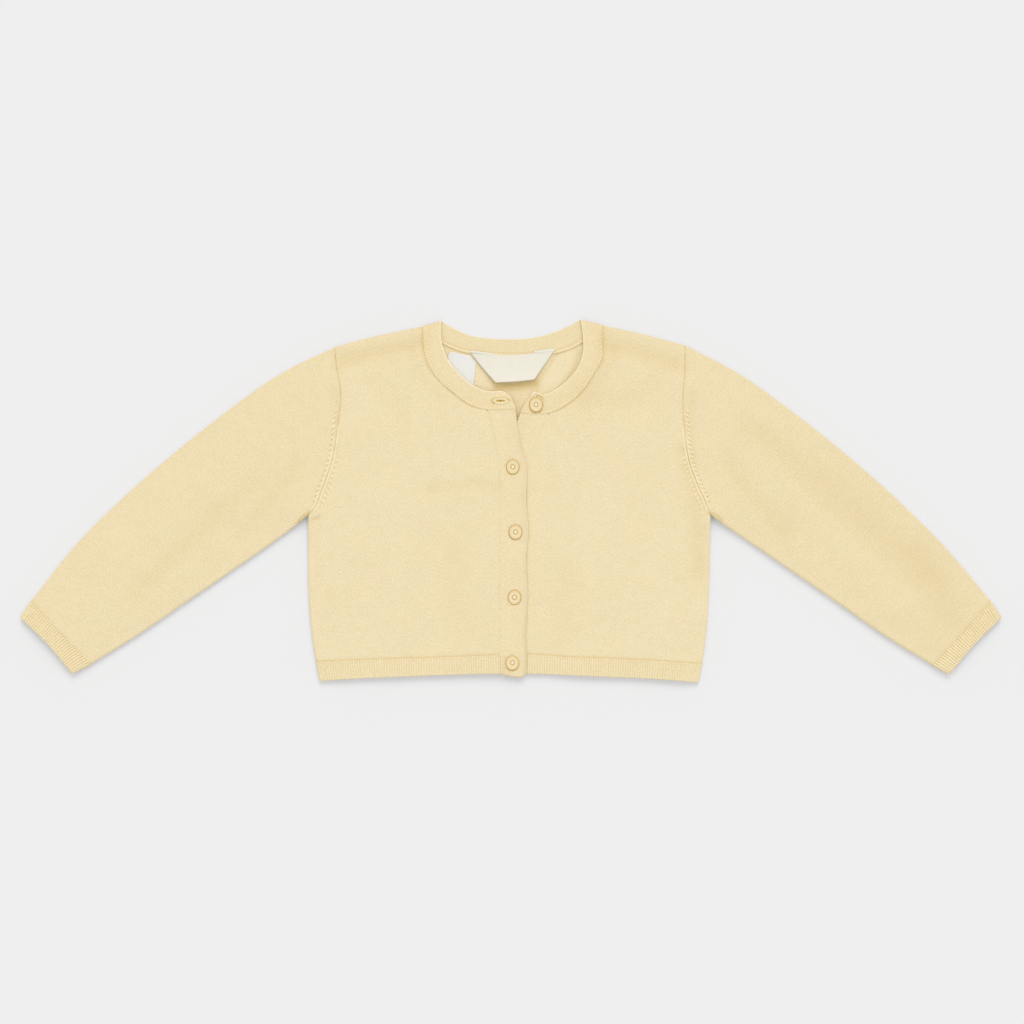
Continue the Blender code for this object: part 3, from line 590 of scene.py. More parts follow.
@dataclass
class LaidForm:
    """The garment's height over its plan, in millimetres.

    The cloth is a low pillow: it rises from the fold that is its outline, half way up, over a
    rolled edge, and a little more to its middle. The back lies flat and rolls up to the fold.
    Painted shade is laid in the same soft steps and bells as the relief that it belongs to.
    """

    laid: float = 4.1
    middle: float = 2.3
    roll: float = 2.0
    crown: float = 0.9
    crowned: Ramp = Ramp(0.0, 24.0)
    creased: Ramp = Ramp(0.0, 7.0)
    leaning: Ramp = Ramp(50.0, -30.0)
    bunched: Bell = Bell(2.2, 15.0)
    crease_shade: float = 0.42
    body_reach: float = 200.0
    hem_drop: float = 0.7
    over_hem: Ramp = Ramp(-139.5, 13.0)
    seat: float = 0.22
    seat_rim: Ramp = Ramp(5.9, 1.9)
    # Painted shadow line below the ridge of loops along the back neck seam.
    neck_seam_painted_shadow: Bell = Bell(0.7, 0.6, 2.1)
    puckered: Ramp = Ramp(66.0, -26.0)
    sewn_in: Ramp = Ramp(0.0, 5.0)
    pucker: Sequence[Bell] = (Bell(0.48, 0.8, 1.6), Bell(-0.10, 0.9, 3.5))
    pucker_shade: Sequence[Bell] = (Bell(0.30, 0.5), Bell(0.16, 0.6, 3.2))
    drawn: Sequence[Bell] = (Bell(-0.3, 1.5), Bell(-0.1, 4.5))
    drawn_shade: Sequence[Bell] = (Bell(0.62, 0.5), Bell(0.05, 3.0))

    def __post_init__(self) -> None:
        """Gathers every folded edge of the garment, and the armholes."""
        edges = []
        for half in HALVES:
            last, hem, neck = half.sleeve[-1], half.hem[-1], half.neck[0]
            inner, outer = inner_line(half.sleeve).points, outer_line(half.sleeve).points
            edges += [Line.through(half.seam).points, Line.through(half.shoulder).points]
            edges += [np.vstack([inner, half.cuff[:2]]), np.vstack([outer, half.cuff[2:]])]
            edges += [np.array([ends[:2], ends[2:]]) for ends in (hem, neck)]
        self.outline = chain_of(*edges)
        self.armholes = [Line.through(half.armhole) for half in HALVES]
        self.underarms = [half.armhole[0] for half in HALVES]

    def reach(self, plan: Array) -> Array:
        """Distance in from the folded outline."""
        return nearest(plan, self.outline)

    def fold(self, plan: Array) -> Array:
        """Height of a fold: the middle, and bunched up round the underarms."""
        away = np.minimum(*(distance_from(plan, spot) for spot in self.underarms))
        return self.middle + self.bunched.over(away)

    def creases(self, plan: Array) -> Array:
        """Sum of the listed creases."""
        return strokes(plan, [*FRONT_FOLDS, *SLEEVE_FOLDS])

    def shade(self, plan: Array) -> Array:
        """Painted shade in the creases: a share of how far each trough sinks."""
        return self.crease_shade * np.clip(-self.creases(plan), 0, None)

    def inside(self, plan: Array) -> Array:
        """Painted shade on the inside of the back: painted shadows in the V of the neck and by the
        labels, and a painted shadow line below the neck seam's ridge.
        """
        return strokes(plan, NECK_PAINTED_SHADOWS) + self.neck_seam_painted_shadow.over(lined(plan, outer_line(BACK_NECK)))

    def ripple(self, plan: Array) -> Array:
        """Slow unevenness of relaxed knit: a few crossing sine waves 30 to 90 mm long."""
        x, y = plan[..., 0], plan[..., 1]
        return (
            0.10 * np.sin(x / 9.1 + 1.3 * np.sin(y / 23.0))
            + 0.09 * np.sin(y / 7.3 + 1.1 * np.sin(x / 19.0) + 0.7)
            + 0.07 * np.sin((x + y) / 6.1 + 2.1)
            + 0.06 * np.sin((x - 1.7 * y) / 11.3 + 0.4)
        )

    def armhole(self, plan: Array) -> tuple[Array, Array]:
        """Relief and painted shade round the armhole seams.

        The lower part is puckered, with a ridge each side of the seam, and the upper part is
        drawn in. The painted shade is deepest in the seam itself and comes and goes along it.
        """
        away = lined(plan, *self.armholes)
        y = plan[..., 1]
        low = self.puckered.over(y)
        relief = low * summed(self.pucker, away) + (1 - low) * summed(self.drawn, away)
        shade = low * summed(self.pucker_shade, away) + (1 - low) * summed(self.drawn_shade, away)
        uneven = 1 + 0.35 * np.sin(y / 2.3 + 1.7 * np.sin(y / 5.9))
        return self.sewn_in.over(self.reach(plan)) * relief, shade * uneven

    def top(self, plan: Array, lean: Lean = Lean.NONE, rise: float = 0.0) -> Array:
        """Height of the front layer's outer face.

        Args:
            plan: Points of the plan.
            lean: Which way the front near the middle lies.
            rise: Extra height of a thicker piece.

        Returns:
            middle + (full - middle) x the roll's quarter ellipse, full being the laid height
            with its crown, creases, ripple and lean.
        """
        reach, x, y = self.reach(plan), plan[..., 0], plan[..., 1]
        full = self.laid + rise + self.crown * self.crowned.over(reach) + self.armhole(plan)[0]
        full = full + self.creased.over(reach) * (self.creases(plan) + self.ripple(plan))
        if lean is not Lean.NONE:
            towards = self.leaning.over(-x if lean is Lean.OVER else x)
            full = full + (lean.value - self.laid - self.crown) * towards
        dropped = self.hem_drop * (np.abs(x) < self.body_reach) * (1 - self.over_hem.over(y))
        full = full - dropped - self.seats(plan)
        return self.fold(plan) + (full - self.middle) * arc(reach / self.roll)

    def seats(self, plan: Array) -> Array:
        """How far the cloth is pressed in under each button, out to its rim."""
        rims = [self.seat_rim.over(distance_from(plan, spot)) for spot in BUTTON_SPOTS]
        return self.seat * sum(1 - rim for rim in rims)

    def under(self, plan: Array) -> Array:
        """Height of the back layer's outer face: flat on the surface, rolling up to the fold."""
        return self.fold(plan) - self.middle * arc(self.reach(plan) / self.roll)


def distance_from(plan: Array, spot: Spot) -> Array:
    """Distance from a spot."""
    return np.hypot(plan[..., 0] - spot.x, plan[..., 1] - spot.y)


# ---------------------------------------------------------------------------------------
# Walls and stitches: closed meshes.


def grid_normals(grid: Array, ring: bool = False, facing: int = 1) -> Array:
    """Unit normals of a grid of points: the cross product of its differences both ways.

    Args:
        grid: Points, as rows x columns x 3.
        ring: Whether the columns close on themselves.
        facing: 1 if the first half of the columns faces up on the whole, -1 if down.

    Returns:
        The normals, pointing out.
    """
    if ring:
        across = np.roll(grid, -1, axis=1) - np.roll(grid, 1, axis=1)
    else:
        across = np.gradient(grid, axis=1)
    normals = unit(np.cross(across, np.gradient(grid, axis=0)))
    probe = normals[:, : grid.shape[1] // 2, 2].sum()
    return normals if probe * facing > 0 else -normals


def quads(index: Array) -> Array:
    """Corner indices of the quads of a grid of indices, each quad once."""
    corners = (index[:-1, :-1], index[:-1, 1:], index[1:, 1:], index[1:, :-1])
    return np.stack(corners, axis=-1).reshape(-1, 4)


def closed_rings(count: int, sides: int, first: int = 0) -> Array:
    """Indices of rings of points, each ring ending on its own first point."""
    rings = np.arange(count * sides).reshape(count, sides) + first
    return np.hstack([rings, rings[:, :1]])


def mesh_object(
    name: str,
    points: Array,
    faces: Sequence[Sequence[int]],
    looks: Sequence[bpy.types.Material],
    uv: Optional[Array] = None,
    slots: Optional[Array] = None,
    depth: Optional[Array] = None,
) -> bpy.types.Object:
    """A smooth-shaded mesh object at the origin.

    Args:
        name: The object's name.
        points: Its points in millimetres, in the frame.
        faces: Corner indices, three or four to a face.
        looks: Its materials.
        uv: One pair for each face corner, in millimetres of cloth.
        slots: Material index of each face.
        depth: Painted shade at each point, which darkens its colour.

    Returns:
        The object, linked to the scene.
    """
    mesh = bpy.data.meshes.new(name)
    mesh.from_pydata((points * MM).tolist(), [], faces)
    if uv is not None:
        mesh.uv_layers.new(name=UV_NAME).data.foreach_set("uv", uv.astype(np.float32).ravel())
    if depth is not None:
        shade = mesh.attributes.new(PAINTED_SHADE_ATTRIBUTE, "FLOAT", "POINT").data
        shade.foreach_set("value", depth.astype(np.float32).ravel())
    for look in looks:
        mesh.materials.append(look)
    if slots is not None:
        mesh.polygons.foreach_set("material_index", slots)
    mesh.shade_smooth()
    return linked(name, mesh)


def linked(name: str, data: bpy.types.ID) -> bpy.types.Object:
    """A new object with this data, in the scene."""
    made = bpy.data.objects.new(name, data)
    bpy.context.scene.collection.objects.link(made)
    return made


@dataclass
class Wall:
    """A cloth wall: outer points, unit normals and the cloth's own coordinates.

    edge is the distance of each point from the nearest free edge, round which the wall is
    rounded, and seam from the nearest seam, where it only thins. Folded edges have neither.
    lift moves both faces out together, and depth is painted shade, from 0, by which the finish
    darkens the colour: depth for the outer face, inner depth for the inner one, and painted shade
    along the seam added to both. A depth below 0 is a painted highlight, paler. The lit side's
    painted shade takes some light off the outer face where it turns to the neck end and the lamp.
    """

    name: str
    outer: Array
    normals: Array
    cloth: Array
    thickness: float
    edge: Optional[Array] = None
    seam: Optional[Array] = None
    lift: Measure = 0.0
    depth: Measure = 0.0
    inner_depth: Measure = 0.0
    # Painted shade along the seam, on both faces.
    seam_painted_shade: Bell = Bell(0.0, 0.6)
    lit_side_painted_shade: float = 0.7
    ring: bool = False
    round_reach: float = 1.1
    least: float = 0.16
    seam_reach: float = 0.8
    seam_thins: float = 0.2

    def both_faces(self) -> tuple[Array, Array]:
        """Outer and inner points.

        Half the thickness at a point is the full half times the quarter circle of the edge
        distance over the rounding's reach, and no less than the least share of it, and a seam
        takes a share of it off in the same way. The inner face takes up half of the lift.
        """
        share = np.ones(self.outer.shape[:2])
        if self.edge is not None:
            share = self.least + (1 - self.least) * arc(self.edge / self.round_reach)
        if self.seam is not None:
            share = share * (1 - self.seam_thins * (1 - arc(self.seam / self.seam_reach)))
        half, lift = self.thickness / 2, self.lift * share
        outer = self.outer + self.normals * (lift - half * (1 - share))[..., None]
        inner = self.outer + self.normals * (lift / 2 - half * (1 + share))[..., None]
        return outer, inner

    def shades(self) -> Array:
        """Painted shade of the outer and of the inner points, a painted highlight below 0."""
        line = 0.0 if self.seam is None else self.seam_painted_shade.over(self.seam)
        # Painted shade on faces turned towards the lamp, dimming the light that the rolled edges catch.
        lit = self.lit_side_painted_shade * np.clip(self.normals[..., 1], 0, 1)
        shape = self.outer.shape[:2]
        both = (self.depth + line + lit, self.inner_depth + line)
        return np.clip(np.stack([np.broadcast_to(shade, shape) for shade in both]), -0.8, 3)

    def build(self, shift: Array, looks: Sequence[bpy.types.Material]) -> bpy.types.Object:
        """Makes the closed mesh, its UV map and its object.

        Args:
            shift: Plan to frame, in millimetres.
            looks: The outer material, and the inner one if it differs.

        Returns:
            The object, at the origin.
        """
        outer, inner = self.both_faces()
        rows, columns = outer.shape[:2]
        index = np.arange(rows * columns).reshape(rows, columns)
        cloth = self.cloth
        if self.ring:
            index = closed_rings(rows, columns)
        spots = np.arange(cloth.shape[0] * cloth.shape[1]).reshape(cloth.shape[:2])
        faces = [quads(index), quads(index)[:, ::-1] + rows * columns]
        corners = [quads(spots), quads(spots)[:, ::-1]]
        borders = [(index[0], spots[0], 1), (index[-1], spots[-1], -1)]
        if not self.ring:
            borders += [(index[:, 0], spots[:, 0], -1), (index[:, -1], spots[:, -1], 1)]
        for border, spot, turn in borders:
            below = border + rows * columns
            rim = np.stack([border[1:], border[:-1], below[:-1], below[1:]], axis=1)
            rim_uv = np.stack([spot[1:], spot[:-1], spot[:-1], spot[1:]], axis=1)
            faces.append(rim[:, ::turn])
            corners.append(rim_uv[:, ::turn])
        all_faces, all_corners = np.vstack(faces), np.vstack(corners)
        natural = np.cross(outer[0, 1] - outer[0, 0], outer[1, 0] - outer[0, 0])
        if natural @ self.normals[0, 0] < 0:
            all_faces, all_corners = all_faces[:, ::-1], all_corners[:, ::-1]
        slots = np.zeros(len(all_faces), np.int32)
        slots[len(faces[0]) : 2 * len(faces[0])] = len(looks) - 1
        return mesh_object(
            cloth_name(self.name),
            np.vstack([outer.reshape(-1, 3), inner.reshape(-1, 3)]) + shift,
            all_faces.tolist(),
            looks,
            cloth.reshape(-1, 2)[all_corners.ravel()],
            slots,
            self.shades(),
        )


def cloth_name(name: str) -> str:
    """The name of the cloth made for a piece of this name."""
    return f"{name}_cloth"


def blobs(
    name: str,
    centres: Array,
    along: Array,
    up: Array,
    size: Union[Sequence[float], Array],
    look: bpy.types.Material,
    sides: int = 6,
) -> bpy.types.Object:
    """Many small rounded stitches as one mesh.

    Each is an ellipsoid grid: centre + along x length/2 x cos(latitude) + (across x width/2 x
    cos(turn) + up x height/2 x sin(turn)) x sin(latitude), with its poles as single points.

    Args:
        name: The object's name.
        centres: Centre of each stitch, in millimetres, in the frame.
        along: Its unit direction.
        up: The unit normal of the cloth there.
        size: Length, width and height of all of them, or a row of these for each.
        look: Its material.
        sides: Points round each stitch.

    Returns:
        The object.
    """
    latitude = np.linspace(0, math.pi, 5)[1:-1]
    turn = np.linspace(0, 2 * math.pi, sides, endpoint=False)
    lat, rnd = np.meshgrid(latitude, turn, indexing="ij")
    local = np.stack([np.cos(lat), np.sin(lat) * np.cos(rnd), np.sin(lat) * np.sin(rnd)], axis=-1)
    tip = np.array([[1.0, 0.0, 0.0]])
    local = np.vstack([tip, local.reshape(-1, 3), -tip])
    half = np.broadcast_to(np.array(size, float) / 2, centres.shape)
    axes = np.stack([along, unit(np.cross(up, along)), up], axis=1) * half[:, :, None]
    points = centres[:, None, :] + np.einsum("lk,nkd->nld", local, axes)
    rings = closed_rings(len(latitude), sides, 1)
    top, foot = np.zeros(sides, int), np.full(sides, len(local) - 1)
    caps = np.stack([top, rings[0, 1:], rings[0, :-1]], axis=1)
    tails = np.stack([foot, rings[-1, :-1], rings[-1, 1:]], axis=1)
    step = (np.arange(len(centres)) * len(local))[:, None, None]
    faces = []
    for one in (quads(rings), caps, tails):
        faces += (one[None] + step).reshape(-1, one.shape[1]).tolist()
    return mesh_object(name, points.reshape(-1, 3), faces, [look])


# ---------------------------------------------------------------------------------------
# Finishes.


class Graph:
    """Adds nodes to one tree. The methods named for a sum or a picture give its output."""

    def __init__(self, tree: bpy.types.NodeTree) -> None:
        """Keeps the tree."""
        self.tree = tree

    def node(self, kind: str, inputs: Optional[dict] = None, **settings: object) -> bpy.types.Node:
        """A new node with these settings, and its inputs fed by name or place."""
        made = self.tree.nodes.new(f"ShaderNode{kind}")
        for name, value in settings.items():
            setattr(made, name, value)
        return self.fill(made, inputs or {})

    def fill(self, node: bpy.types.Node, inputs: dict) -> bpy.types.Node:
        """Links each value to the node's input, or writes it there if it isn't an output."""
        for key, value in inputs.items():
            if isinstance(value, bpy.types.NodeSocket):
                self.tree.links.new(value, node.inputs[key])
            else:
                node.inputs[key].default_value = value
        return node

    def math(self, operation: str, *values: Value) -> Socket:
        """One Math node."""
        return self.node("Math", dict(enumerate(values)), operation=operation).outputs[0]

    def times(self, first: Value, second: Value) -> Socket:
        """A product."""
        return self.math("MULTIPLY", first, second)

    def line(self, value: Value, slope: Value, start: Value) -> Socket:
        """start + slope x value."""
        return self.math("MULTIPLY_ADD", value, slope, start)

    def hump(self, share: Value) -> Socket:
        """1 - (2 share - 1)^2."""
        swing = self.line(share, 2.0, -1.0)
        return self.math("SUBTRACT", 1.0, self.times(swing, swing))

    def vector(self, operation: str, *values: object) -> Socket:
        """One Vector Math node."""
        return self.node("VectorMath", dict(enumerate(values)), operation=operation).outputs[0]

    def scale(self, vector: object, factor: Value) -> Socket:
        """A vector or colour times a number."""
        inputs = {0: vector, "Scale": factor}
        return self.node("VectorMath", inputs, operation="SCALE").outputs[0]

    def noise(
        self, place: Socket, scale: float, detail: float = 2.0, stretch: Sequence[float] = (1, 1, 1)
    ) -> Socket:
        """Noise about 0, from about -0.5 to 0.5, that many waves to a unit of the place."""
        spread_out = self.vector("MULTIPLY", place, tuple(stretch))
        inputs = {"Vector": spread_out, "Scale": scale, "Detail": detail}
        return self.math("SUBTRACT", self.node("TexNoise", inputs).outputs["Fac"], 0.5)

    def split(self, vector: Socket) -> tuple[Socket, Socket]:
        """The vector's X and Y."""
        made = self.node("SeparateXYZ", {0: vector})
        return made.outputs[0], made.outputs[1]

    def place(self) -> Socket:
        """The piece's own coordinates, in metres."""
        return self.node("TexCoord").outputs["Object"]

    def cloth(self) -> Socket:
        """The unrolled cloth's coordinates, in millimetres."""
        return self.node("UVMap", uv_map=UV_NAME).outputs["UV"]

    def depth(self) -> Socket:
        """The piece's painted shade, read from its point attribute."""
        return self.node("Attribute", attribute_name=PAINTED_SHADE_ATTRIBUTE).outputs["Fac"]

    def tone_and_painted_shade(
        self, colour: Sequence[float], tone: Value, painted_shade_tint: Sequence[float], depth: Value
    ) -> Socket:
        """colour x tone x (1 - tint x depth), the depth being painted shade.

        Shade falls deeper yellow in yellow yarn, light having bounced in it, so the painted shade
        has its own share in each colour.
        """
        left = self.vector("SUBTRACT", (1.0, 1.0, 1.0), self.scale(painted_shade_tint, depth))
        return self.vector("MULTIPLY", self.scale(colour, tone), left)

    def relief(self, height: Value, distance: float) -> Socket:
        """A normal bumped by a height of 0 to 1 over this distance in metres."""
        return self.node("Bump", {"Height": height, "Distance": distance}).outputs[0]


def dyed(name: str) -> tuple[bpy.types.Material, Graph, bpy.types.Node]:
    """A new material with its graph and its Principled shader."""
    made = bpy.data.materials.new(name)
    made.use_nodes = True
    return made, Graph(made.node_tree), made.node_tree.nodes["Principled BSDF"]


@dataclass
class Group:
    """A shader node group with named sockets, its outputs all being numbers."""

    name: str
    inputs: dict[str, str]
    outputs: Sequence[str]

    def __post_init__(self) -> None:
        """Makes the tree, its sockets and its two end nodes."""
        self.tree = bpy.data.node_groups.new(self.name, "ShaderNodeTree")
        for label, kind in self.inputs.items():
            self.tree.interface.new_socket(label, in_out="INPUT", socket_type=f"NodeSocket{kind}")
        for label in self.outputs:
            self.tree.interface.new_socket(label, in_out="OUTPUT", socket_type="NodeSocketFloat")
        self.graph = Graph(self.tree)
        self.given = self.tree.nodes.new("NodeGroupInput").outputs
        self.end = self.tree.nodes.new("NodeGroupOutput")

    def finish(self, *values: Socket) -> bpy.types.NodeTree:
        """Feeds the outputs in their order, and gives the tree."""
        self.graph.fill(self.end, dict(enumerate(values)))
        return self.tree


@dataclass
class KnitGroup(Group):
    """The group of one face of the knit, which gives its height and how much of it is gap."""

    inputs: dict[str, str] = field(
        default_factory=lambda: {"Cloth": "Vector", "Wale": "Float", "Course": "Float"}
    )
    outputs: Sequence[str] = ("Height", "Gap")

    def stitches(self, scale: float, *drifts: float) -> list[Socket]:
        """The cloth's place in wales and in courses, each led astray by slow noise."""
        graph, cloth = self.graph, self.given["Cloth"]
        wobble = graph.noise(cloth, scale, 1.0)
        counted = zip(graph.split(cloth), ("Wale", "Course"), drifts)
        return [
            graph.line(wobble, drift, graph.math("DIVIDE", along, self.given[size]))
            for along, size, drift in counted
        ]

    def knitted(self, height: Socket) -> bpy.types.NodeTree:
        """Finishes it, the gap being (1 - height)^2."""
        rest = self.graph.math("SUBTRACT", 1.0, height)
        return self.finish(height, self.graph.math("POWER", rest, 2.0))


class StitchGroups:
    """The node groups that more than one finish uses, each built once."""

    def __init__(self) -> None:
        """Builds them all."""
        self.plain = self.plain_knit()
        self.purl = self.purl_knit()
        self.yarn = self.yarn_tone()

    @staticmethod
    def plain_knit() -> bpy.types.NodeTree:
        """Plain stitches: columns of interlocking V shapes.

        With u and v in wales and courses, side = 2|frac(u) - 1/2| is 1 between two wales and 0
        down the middle of one, and phase = frac(v + 0.8 side). A leg of the V stands
        1 - (2 phase - 1)^2 high, times 1 - side^4 between the wales and a dip down the middle.
        """
        group = KnitGroup("Plain knit")
        graph = group.graph
        u, v = group.stitches(0.55, 0.5, 0.7)
        offset = graph.math("SUBTRACT", graph.math("FRACT", u), 0.5)
        side = graph.times(graph.math("ABSOLUTE", offset), 2.0)
        leg = graph.hump(graph.math("FRACT", graph.line(side, 0.8, v)))
        between = graph.math("SUBTRACT", 1.0, graph.math("POWER", side, 4.0))
        middle = graph.math("MINIMUM", graph.line(side, 1.6, 0.55), 1.0)
        return group.knitted(graph.times(graph.times(leg, between), middle))

    @staticmethod
    def purl_knit() -> bpy.types.NodeTree:
        """The back of plain stitches: rows of short arcs, each row half a wale along.

        The height is (1 - (2 frac(v) - 1)^2) times 0.65 + 0.35 cos(2 pi (u + floor(v) / 2)).
        """
        group = KnitGroup("Purl knit")
        graph = group.graph
        u, v = group.stitches(0.6, 0.6, 0.6)
        turn = graph.line(graph.math("FLOOR", v), 0.5, u)
        wave = graph.math("COSINE", graph.times(turn, 2 * math.pi))
        arc_up = graph.hump(graph.math("FRACT", v))
        return group.knitted(graph.times(arc_up, graph.line(wave, 0.35, 0.65)))

    @staticmethod
    def yarn_tone() -> bpy.types.NodeTree:
        """Uneven yarn: a factor about 1 from noise a stitch, a few stitches and a hand wide.

        Shade is the same noise given as a depth, which the finish deepens to yellow where it
        darkens it, and fibre is fine noise for the surface of the yarn.
        """
        group = Group("Yarn tone", {"Place": "Vector", "Cloth": "Vector"}, ["Tone", "Shade", "Fibre"])
        graph, place, cloth = group.graph, group.given["Place"], group.given["Cloth"]
        stitch = graph.noise(cloth, 0.85, 2.0, (1.0, 0.75, 1.0))
        course = graph.noise(cloth, 0.9, 1.0, (0.10, 1.0, 1.0))
        few, wide = graph.noise(place, 150.0), graph.noise(place, 22.0)
        tone, shade = 1.0, 0.0
        shares = ((stitch, 0.08, -1.2), (few, 0.035, -0.16), (wide, 0.02, -0.10))
        for noise, tones, shades in shares:
            tone = graph.line(noise, tones, tone)
            shade = graph.line(noise, shades, shade)
        tone = graph.line(course, 0.04, tone)
        return group.finish(tone, shade, graph.noise(place, 2600.0, 3.0))


class Stitch(Enum):
    """Which face of the knit shows, or a loose yarn with no stitches of its own."""

    PLAIN = "plain"
    PURL = "purl"
    YARN = "yarn"


@dataclass(frozen=True)
class KnitFinish:
    """A knitted cloth or yarn. Sizes of wale and course are in millimetres, relief in metres."""

    name: str
    colour: tuple[float, float, float]
    stitch: Stitch = Stitch.PLAIN
    wale: float = 1.4
    course: float = 1.05
    relief: float = 0.00010
    # Painted shade in the gaps between stitches.
    shade: float = 0.07
    fuzz: float = 0.35
    # Share of the painted shade in each colour: blue darkens most, as shade does in yellow yarn.
    painted_shade_tint: tuple[float, float, float] = (0.15, 0.23, 0.42)
    surface: tuple[tuple[str, Union[float, tuple[float, ...]]], ...] = (
        ("Roughness", 0.95),
        ("Specular IOR Level", 0.15),
        ("Sheen Weight", 0.10),
        ("Sheen Roughness", 0.5),
        ("Sheen Tint", (1.0, 0.95, 0.85, 1.0)),
    )

    def material(self, groups: StitchGroups) -> bpy.types.Material:
        """The node material: colour x tone x (1 - shade x gap) x (1 - tint x depth), painted shade, with
        the yarn's uneven tone in depth too.
        """
        made, graph, shader = dyed(self.name)
        place, loose = graph.place(), self.stitch is Stitch.YARN
        cloth = graph.scale(place, 1 / MM) if loose else graph.cloth()
        inputs = {"Place": place, "Cloth": cloth}
        yarn = graph.node("Group", node_tree=groups.yarn)
        tone, shade, height = graph.fill(yarn, inputs).outputs
        if not loose:
            tree = groups.plain if self.stitch is Stitch.PLAIN else groups.purl
            knit = graph.node("Group", node_tree=tree)
            inputs = {"Cloth": cloth, "Wale": self.wale, "Course": self.course}
            stands, gap = graph.fill(knit, inputs).outputs
            tone = graph.times(tone, graph.line(gap, -self.shade, 1.0))
            height = graph.line(height, self.fuzz, stands)
        depth = graph.math("ADD", graph.depth(), shade)
        colour = graph.tone_and_painted_shade(self.colour, tone, self.painted_shade_tint, depth)
        normal = graph.relief(height, self.relief)
        graph.fill(shader, {"Base Color": colour, "Normal": normal, **dict(self.surface)})
        return made


@dataclass(frozen=True)
class ButtonFinish:
    """A moulded button: a pale body with a slow mottle, its turned rings darkened by painted shade."""

    name: str
    colour: tuple[float, float, float]
    mottle: float = 0.07
    cloud: float = 0.06
    roughness: float = 0.38
    uneven: float = 0.12
    relief: float = 0.00003
    specular: float = 0.4
    painted_shade_tint: tuple[float, float, float] = (0.20, 0.34, 0.60)

    def material(self, groups: StitchGroups) -> bpy.types.Material:
        """The node material: colour x (1 + mottle) x (1 - tint x depth), depth being painted shade, its
        gloss uneven.
        """
        made, graph, shader = dyed(self.name)
        place = graph.place()
        mottle = graph.noise(place, 420.0, 3.0)
        tone = graph.line(mottle, self.mottle, 1.0)
        tone = graph.line(graph.noise(place, 90.0, 1.0), self.cloud, tone)
        inputs = {
            "Base Color": graph.tone_and_painted_shade(self.colour, tone, self.painted_shade_tint, graph.depth()),
            "Roughness": graph.line(mottle, self.uneven, self.roughness),
            "Normal": graph.relief(graph.noise(place, 1500.0), self.relief),
            "Specular IOR Level": self.specular,
        }
        graph.fill(shader, inputs)
        return made


@dataclass(frozen=True)
class LabelFinish:
    """A woven ribbon: fine crossing threads, satin across."""

    name: str
    colour: tuple[float, float, float]
    thread: float = 0.42
    weave: float = 0.03
    streak: float = 0.04
    cloud: float = 0.03
    relief: float = 0.00008
    surface: tuple[tuple[str, float], ...] = (
        ("Roughness", 0.6),
        ("Specular IOR Level", 0.25),
        ("Sheen Weight", 0.1),
    )

    def material(self, groups: StitchGroups) -> bpy.types.Material:
        """The node material.

        The weave is sin^2(pi x / thread) + sin^2(pi y / thread) over the label's own plan.
        """
        made, graph, shader = dyed(self.name)
        cloth = graph.cloth()
        turns = [graph.times(along, math.pi / self.thread) for along in graph.split(cloth)]
        waves = [graph.math("SINE", turn) for turn in turns]
        weave = graph.math("ADD", *(graph.times(wave, wave) for wave in waves))
        tone = graph.line(weave, self.weave, 1 - self.weave)
        tone = graph.line(graph.noise(cloth, 0.25, 2.0, (1.0, 0.2, 1.0)), self.streak, tone)
        tone = graph.line(graph.noise(graph.place(), 60.0), self.cloud, tone)
        colour, normal = graph.scale(self.colour, tone), graph.relief(weave, self.relief)
        graph.fill(shader, {"Base Color": colour, "Normal": normal, **dict(self.surface)})
        return made


class Look(Enum):
    """The finishes, by the record's slot that each belongs to."""

    BODY = KnitFinish("body_plain_knit", (0.930, 0.788, 0.500))
    BODY_INSIDE = KnitFinish("body_purl_side", (0.930, 0.792, 0.515), Stitch.PURL)
    SLEEVE = KnitFinish("sleeve_plain_knit", (0.922, 0.777, 0.490))
    RIB = KnitFinish("rib_knit", (0.954, 0.820, 0.538), wale=1.0, course=1.0, relief=0.00006)
    RIB_INSIDE = KnitFinish("rib_knit_inside", (0.925, 0.780, 0.492), Stitch.PURL, wale=1.0)
    BAND = KnitFinish("band_knit", (0.920, 0.776, 0.488), wale=1.4)
    STITCHING = KnitFinish("seam_yarn", (0.950, 0.820, 0.560), Stitch.YARN, relief=0.00005)
    # A lighter yarn for the real ridge loops by the armhole seams, a painted highlight where they catch
    # the light.
    RIDGE = KnitFinish("ridge_yarn_painted_highlight", (0.980, 0.870, 0.620), Stitch.YARN, relief=0.00005)
    BODY_LOOPS = KnitFinish("linking_yarn", (0.925, 0.785, 0.500), Stitch.YARN, relief=0.00005)
    # A darker yarn for loops laid under the marks as their painted shadows.
    HOLLOW = KnitFinish("painted_shadow_yarn", (0.830, 0.665, 0.375), Stitch.YARN, relief=0.00005)
    THREAD = KnitFinish("button_thread", (0.95, 0.88, 0.70), Stitch.YARN, relief=0.00005)
    BUTTON = ButtonFinish("moulded_button", (0.890, 0.745, 0.460))
    CARE_LABEL = LabelFinish("care_ribbon", (0.98, 0.960, 0.915))
    BRAND_LABEL = LabelFinish("neck_ribbon", (0.97, 0.925, 0.785))


# ---------------------------------------------------------------------------------------
# Sub-assemblies.


